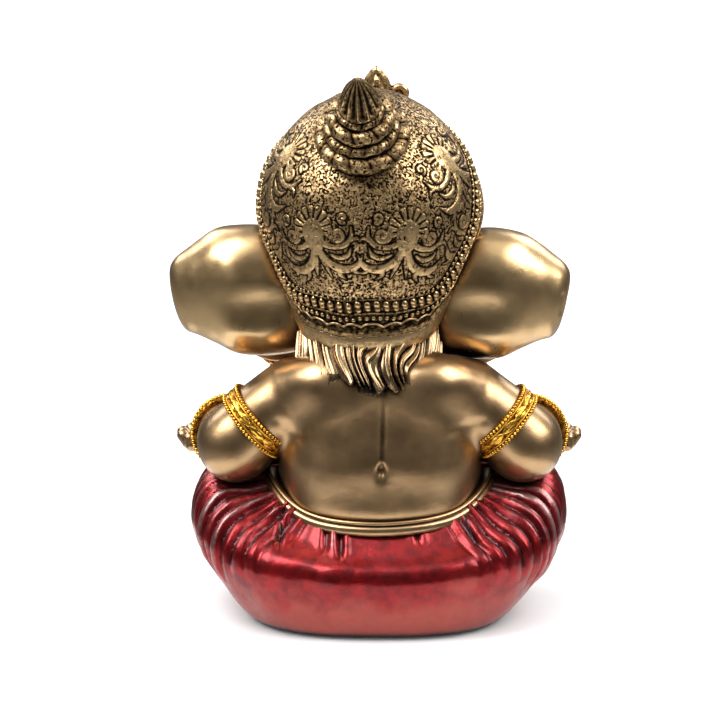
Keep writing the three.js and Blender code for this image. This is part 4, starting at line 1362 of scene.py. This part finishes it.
def hair():
    """One mass of wavy hair over the nape. Its locks curve towards the middle and end in tips."""
    columns, rows, locks = 560, 84, 19
    a = np.linspace(-1.55, 1.55, columns)[None]
    t = np.linspace(0, 1, rows)[:, None]
    out = np.abs(a) / 1.55
    top = -33.4 + 7.5 * out**3
    bottom = -49.6 + 7.2 * out**3.4
    z = top + (bottom - top) * t
    r = np.interp(z, [-51, -48, -43, -38, -34, -26], [24.2, 24.6, 23.4, 20.9, 18.4, 17])
    wide = 18.4 + 2.2 * t
    # Follow each lock back up to where it starts, and number it.
    bend = 0.15 * np.sin(5.6 * t + 2.4 * a + 0.4) * t**0.7 + 0.06 * np.sin(11 * a + 4 * t)
    root = (a - bend * np.cos(a)) / (1 - 0.30 * t**1.5)
    lane = root / 3.1 * locks + 0.3 * np.sin(2.6 * root * 3) + 50
    which = np.floor(lane).astype(np.int64)
    off = 2 * np.abs(lane - which - 0.5)
    pick = lambda k: chance(which, which * 0, which * 0 + k, 77)
    ridge = (1 - off**2.2) * (0.6 + 0.5 * pick(1))
    strands = np.cos(FULL_TURN * (lane * (2 + (pick(2) > 0.5)) + pick(3)) + 2 * t)
    end = (0.80 + 0.20 * pick(4)) * (1 - 0.16 * off**1.5)
    tip = fade(end - t, -0.02, 0.10)
    hidden = fade(t, 0.0, 0.12)
    lift = 1.6 * ridge + 0.34 * strands * (1 - off) - 0.9
    r = r + lift * hidden * tip - 3.4 * (1 - tip)
    wide = wide + lift * hidden * tip - 2.4 * (1 - tip)
    outer = np.stack([wide * np.sin(a), r * np.cos(a), z], -1)
    wear = 0.14 + 0.50 * np.clip(1 - off**3, 0, 1) + 0.16 * strands * (1 - off)
    wear = wear * (0.35 + 0.65 * tip)
    inner = (outer * vec(0.72, 0.72, 1))[:, ::-3]
    wear = np.hstack([wear, np.full(inner.shape[:2], 0.05)])
    shape = sheet(np.concatenate([outer, inner], 1), wear)
    piece("nape_hair_locks", shape.moved(from_head), HAIR_BRONZE, "bronze_skin", "hair")


# ---------- trim ----------
def waistband():
    """A flat bevelled band over the dhoti's top edge, with a thin bead along its upper side."""
    angle = around_circle(420)[:, None]
    c, s = np.cos(angle), np.sin(angle)
    height = WAIST_HEIGHT + WAIST_RISE * np.abs(c) ** 4.5
    path = np.hstack([WAIST_WIDTH * c, WAIST_MIDDLE + WAIST_DEPTH * s, height])
    out = unit(np.hstack([c / WAIST_WIDTH, s / WAIST_DEPTH, 0.006 + 0 * c]))
    up = unit(np.cross(out, unit(np.roll(path, -1, 0) - np.roll(path, 1, 0))))
    up = up * np.sign(up[:1, 2:])
    path = path + (0.18 * np.sin(3 * angle + 1) + 0.10 * np.sin(7 * angle)) * up
    section = [
        (-2.1, -2.2), (-2.1, 0.3), (-1.7, 0.95), (-0.9, 1.2),
        (-0.1, 1.25), (0.45, 1.05), (0.7, 0.5), (0.95, 0.4),
    ]
    bead = np.linspace(0.1, math.pi, 7)
    section += [(1.0 + 0.56 * (1 - math.cos(a)), 0.45 + 0.62 * math.sin(a)) for a in bead]
    section += [(2.1, -2.2)]
    wear = [0.3, 0.4, 0.66, 0.6, 0.6, 0.62, 0.1, 0.0, 0.3, 0.6, 0.7, 0.75, 0.7, 0.6, 0.4, 0.3]
    piece("waistband_beaded", moulding(path, out, up, section, wear), BRONZE, "bronze_skin", "waistband")


def cuff_pattern(leaves, ribs):
    """A row of veined leaves between two ribs, which lie at a share of the half width."""

    def pattern(angle, share):
        edge = np.abs(share)
        rib = np.exp(-(((edge - ribs) / 0.055) ** 2))
        cell = (angle * leaves / FULL_TURN) % 1 * 2 - 1
        bow = 0.9 - 0.75 * np.abs(cell) ** 1.6
        leaf = 1 - fade(edge / np.maximum(ribs * bow, 0.05), 0.75, 1.0)
        vein = 0.5 + 0.5 * np.cos(11 * edge / ribs - 4 * np.abs(cell))
        stem = np.exp(-((share / 0.07) ** 2))
        height = 0.5 * rib + leaf * (0.30 + 0.12 * vein + 0.14 * stem) * (edge < ribs)
        wear = 0.14 + 0.72 * np.clip(rib, 0, 1) + leaf * (0.42 + 0.26 * vein) * (edge < ribs)
        return height, wear

    return pattern


def cuff(centre, axis, radius, half, thick, pattern, bead):
    """A ring round a limb. half is half its width, and thick its wall over the limb's radius.

    pattern(angle, share of the half width) gives its height and wear. bead is the radius of its beads.
    """
    around, across = 420, 30
    axis = unit(axis)
    angle = around_circle(around)[:, None]
    share = np.linspace(-1, 1, across)[None]
    height, wear = pattern(angle + 0 * share, share + 0 * angle)
    out = ways_out(axis, angle)
    r = radius + thick + height
    outer = centre + r[..., None] * out[:, None] + (share * half)[..., None] * axis
    inner = centre + (radius - 1.0) * out[:, None] + vec(half, 0, -half)[None, :, None] * axis
    wear = np.hstack([wear, np.full((around, 3), 0.2)])
    shapes = [sheet(np.concatenate([outer, inner], 1), wear, wrap_rows=True)]
    for s in (1, -1):
        count = int(FULL_TURN * (radius + thick) / (bead * 2.05))
        spots, ways = ring(centre + s * (half - bead * 0.7) * axis, axis, radius + thick + 0.1, count)
        shapes.append(beads(spots, ways, (bead, bead), 7, 10))
    return joined(shapes)


def cuffs():
    """Gold bands of leaves between bead rows, round the upper arms, the wrists and the ankles."""
    for side, name in SIDES:
        shoulder, armlet, elbow, wrist, knee, ankle = (
            mirrored(v, side) for v in (SHOULDER, ARMLET, ELBOW, WRIST, KNEE, ANKLE)
        )
        along_arm = unit(elbow - armlet) + unit(armlet - shoulder) - vec(0, 0, 0.42)
        pattern = cuff_pattern(leaves=13, ribs=0.55)
        band = cuff(armlet, along_arm, ARMLET_RADIUS, 2.7, 0.6, pattern, bead=0.55)
        piece(name + "_leafy_armlet", band, GOLD, "gold_trim", name + "_armlet")
        pattern = cuff_pattern(leaves=11, ribs=0.5)
        band = cuff(wrist, wrist - elbow, WRIST_RADIUS, 2.5, 0.7, pattern, bead=0.6)
        piece(name + "_leafy_bracelet", band, GOLD, "gold_trim", name + "_bracelet")
        pattern = cuff_pattern(leaves=9, ribs=0.45)
        band = cuff(ankle, ankle - knee, ANKLE_RADIUS, 2.2, 0.5, pattern, bead=0.5)
        piece(name + "_leafy_anklet", band, GOLD, "gold_trim", name + "_anklet")


def necklace():
    angle = around_circle(400)[:, None]
    path = np.hstack([1 + 18.5 * np.cos(angle), 3 + 17.5 * np.sin(angle), 70 + 5 * np.sin(angle)])
    spots = spline(path[::8], 46, closed=True)
    ups = unit(np.roll(spots, -1, 0) - np.roll(spots, 1, 0))
    shapes = [closed_cord(path, 0.7, 0.4), beads(spots, ups, (1.35, 1.05), 9, 14)]
    piece("beaded_necklace", joined(shapes), GOLD, "gold_trim", "necklace")


def pendant():
    centre, radii = vec(1, -18, 61.5), vec(4.2, 2.6, 5)

    def field(p):
        q = p - centre
        drop = ellipsoid(p, centre, radii * 0.94)
        drop = merge(drop, ball(p, centre + vec(0, 0, 5.2), 1.3), 0.8)
        around = np.arctan2(q[:, 0] / radii[0], q[:, 2] / radii[2])
        off = np.hypot(q[:, 0] / radii[0], q[:, 2] / radii[2])
        petals = np.abs(np.sin(4 * around)) ** 0.7 * np.exp(-(((off - 0.55) / 0.2) ** 2))
        centre_stud = np.exp(-((off / 0.26) ** 2))
        rim = np.exp(-(((off - 0.93) / 0.08) ** 2))
        return drop - 0.45 * petals - 0.6 * centre_stud - 0.35 * rim

    box = (-5, -23, 54), (7, -13, 69)
    sculpted("petal_pendant", field, box, 0.22, GOLD, "gold_trim", "pendant")


def earrings():
    """A hanging drop at each ear, with a ring of small studs."""
    outline = [
        (0.3, 4.4), (1.3, 4.0), (1.5, 3.2), (2.6, 2.6), (3.0, 2.0), (2.5, 1.5), (3.7, 0.6),
        (3.9, -0.8), (3.2, -2.3), (1.9, -3.3), (1.2, -3.6), (1.3, -4.1), (0.2, -4.6),
    ]
    for side, name in SIDES:
        centre = vec(side * 29, -19.0, -45.4)
        line = spline(outline, 70)
        angle = around_circle(160)[None]
        body = fade(-line[:, 1:], -1.4, -0.6) * fade(line[:, 1:], -3.4, -2.6)
        ridge = np.abs(np.cos(5 * angle)) ** 0.7
        r = line[:, :1] * (1 - 0.14 * body * (1 - ridge))
        across = np.stack([np.cos(angle) + 0 * r, 0.78 * np.sin(angle) + 0 * r], -1) * r[..., None]
        points = centre + np.concatenate([across, line[:, 1:, None] + 0 * r[..., None]], -1)
        wear = 0.62 - 0.5 * body * (1 - ridge)
        studs, ways = ring(centre + vec(0, 0, 1.5), vec(0, 0, 1), 2.7, 14)
        studded = beads(centre + (studs - centre) * vec(1, 0.8, 1), ways, (0.5, 0.5))
        drop = joined([sheet(points, wear), studded]).moved(from_head)
        piece(name + "_drop_earring", drop, GOLD, "gold_trim", name + "_earring")


crown_dome()
medallions()
crown_border()
knob()
crest()
head()
trunk()
tusks()
ears()
hair()
torso()
limbs_of_the_body()
dhoti()
waistband()
cuffs()
necklace()
pendant()
earrings()


# ---------- stage ----------
AIM = Vector((0.0056, 0.008, 0.0733))
CAMERA_ANGLE, CAMERA_DISTANCE, CAMERA_LENS = (180, 12), 0.9, 160.7
FLOOR_RADIUS = 0.11
SKY_WHITE = 1.5
SKY_UNDER, SKY_LOW, SKY_HIGH = 0.38, 0.06, 0.52  # what metal mirrors: the ground, horizon and high sky
# Each light's name, azimuth, elevation, distance, size and power.
SOFTBOXES = (
    ("left_box", 116, 50, 0.55, 0.38, 4.2),
    ("right_box", 252, 43, 0.55, 0.36, 2.8),
    ("face_left_box", 40, 35, 0.8, 0.4, 2.0),
    ("face_right_box", 320, 35, 0.8, 0.4, 2.0),
    ("top_box", 180, 76, 0.7, 0.4, 0.4),
)


def floor():
    """A pale disc that catches the figure's shadow."""
    mesh = bpy.data.meshes.new("floor")
    rim = [(FLOOR_RADIUS * math.cos(a), FLOOR_RADIUS * math.sin(a), 0) for a in around_circle(64)]
    mesh.from_pydata(rim, [], [list(range(64))])
    mesh.materials.append(plain_floor("pale_floor"))
    made = bpy.data.objects.new("floor", mesh)
    bpy.context.scene.collection.objects.link(made)


def toward(azimuth, elevation):
    """A unit vector from the figure. Azimuth 0 is in front of the face, 90 on its left, 180 behind."""
    a, e = math.radians(azimuth), math.radians(elevation)
    return Vector((math.sin(a) * math.cos(e), -math.cos(a) * math.cos(e), math.sin(e)))


def aimed(name, data, azimuth, elevation, distance):
    """A camera or light at a distance from the figure, turned towards it."""
    made = bpy.data.objects.new(name, data)
    bpy.context.scene.collection.objects.link(made)
    away = toward(azimuth, elevation)
    made.location = AIM + away * distance
    made.rotation_mode = "QUATERNION"
    made.rotation_quaternion = away.to_track_quat("Z", "Y")
    return made


def softbox(name, azimuth, elevation, distance, size, power):
    data = bpy.data.lights.new(name, "AREA")
    data.shape = "SQUARE"
    data.size = size
    data.energy = power
    aimed(name, data, azimuth, elevation, distance).visible_camera = False


def surroundings():
    """White all round, except in what metal mirrors: a dark horizon, a grey sky and a darker grey ground.

    The mirrored surroundings are also darker behind the figure, where the camera stands.
    """
    world = bpy.data.worlds.new("studio")
    world.use_nodes = True
    tree = world.node_tree
    tree.nodes.clear()
    add = lambda kind: tree.nodes.new("ShaderNode" + kind)
    place, split = add("TexCoord"), add("SeparateXYZ")
    tree.links.new(place.outputs["Generated"], split.inputs[0])

    def ramp(axis, start, end, low, high):
        node = add("MapRange")
        node.interpolation_type = "SMOOTHSTEP"
        for name, value in (("From Min", start), ("From Max", end), ("To Min", low), ("To Max", high)):
            node.inputs[name].default_value = value
        tree.links.new(split.outputs[axis], node.inputs["Value"])
        return node.outputs[0]

    def combined(a, b, operation):
        node = add("Math")
        node.operation = operation
        tree.links.new(a, node.inputs[0])
        tree.links.new(b, node.inputs[1])
        return node.outputs[0]

    sky, ground = ramp("Z", 0.02, 0.95, SKY_LOW, SKY_HIGH), ramp("Z", -0.55, -0.05, SKY_UNDER, 0.0)
    strength = combined(combined(sky, ground, "ADD"), ramp("Y", 0.35, 0.95, 1.0, 0.35), "MULTIPLY")
    mirrored_sky, white, path, mix, output = (
        add(kind) for kind in ("Background", "Background", "LightPath", "MixShader", "OutputWorld")
    )
    white.inputs["Color"].default_value = mirrored_sky.inputs["Color"].default_value = (1, 1, 1, 1)
    white.inputs["Strength"].default_value = SKY_WHITE
    for a, b in (
        (strength, mirrored_sky.inputs["Strength"]),
        (path.outputs["Is Glossy Ray"], mix.inputs[0]),
        (white.outputs[0], mix.inputs[1]),
        (mirrored_sky.outputs[0], mix.inputs[2]),
        (mix.outputs[0], output.inputs[0]),
    ):
        tree.links.new(a, b)
    bpy.context.scene.world = world


def camera():
    data = bpy.data.cameras.new("camera")
    data.lens = CAMERA_LENS
    bpy.context.scene.camera = aimed("camera", data, *CAMERA_ANGLE, CAMERA_DISTANCE)


camera()
surroundings()
floor()
for light in SOFTBOXES:
    softbox(*light)
bpy.context.scene.view_settings.view_transform = "Standard"

# ---------- materials for the CAD's dowels and felt pad ---
DOWELS = (
    "neck_dowel", "left_arm_dowel", "right_arm_dowel", "left_ear_dowel", "right_ear_dowel", "knob_dowel",
)
for node, material in [(name, ROD_BRASS) for name in DOWELS] + [("base_pad", FELT)]:
    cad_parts[node].data.materials.clear()
    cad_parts[node].data.materials.append(material)
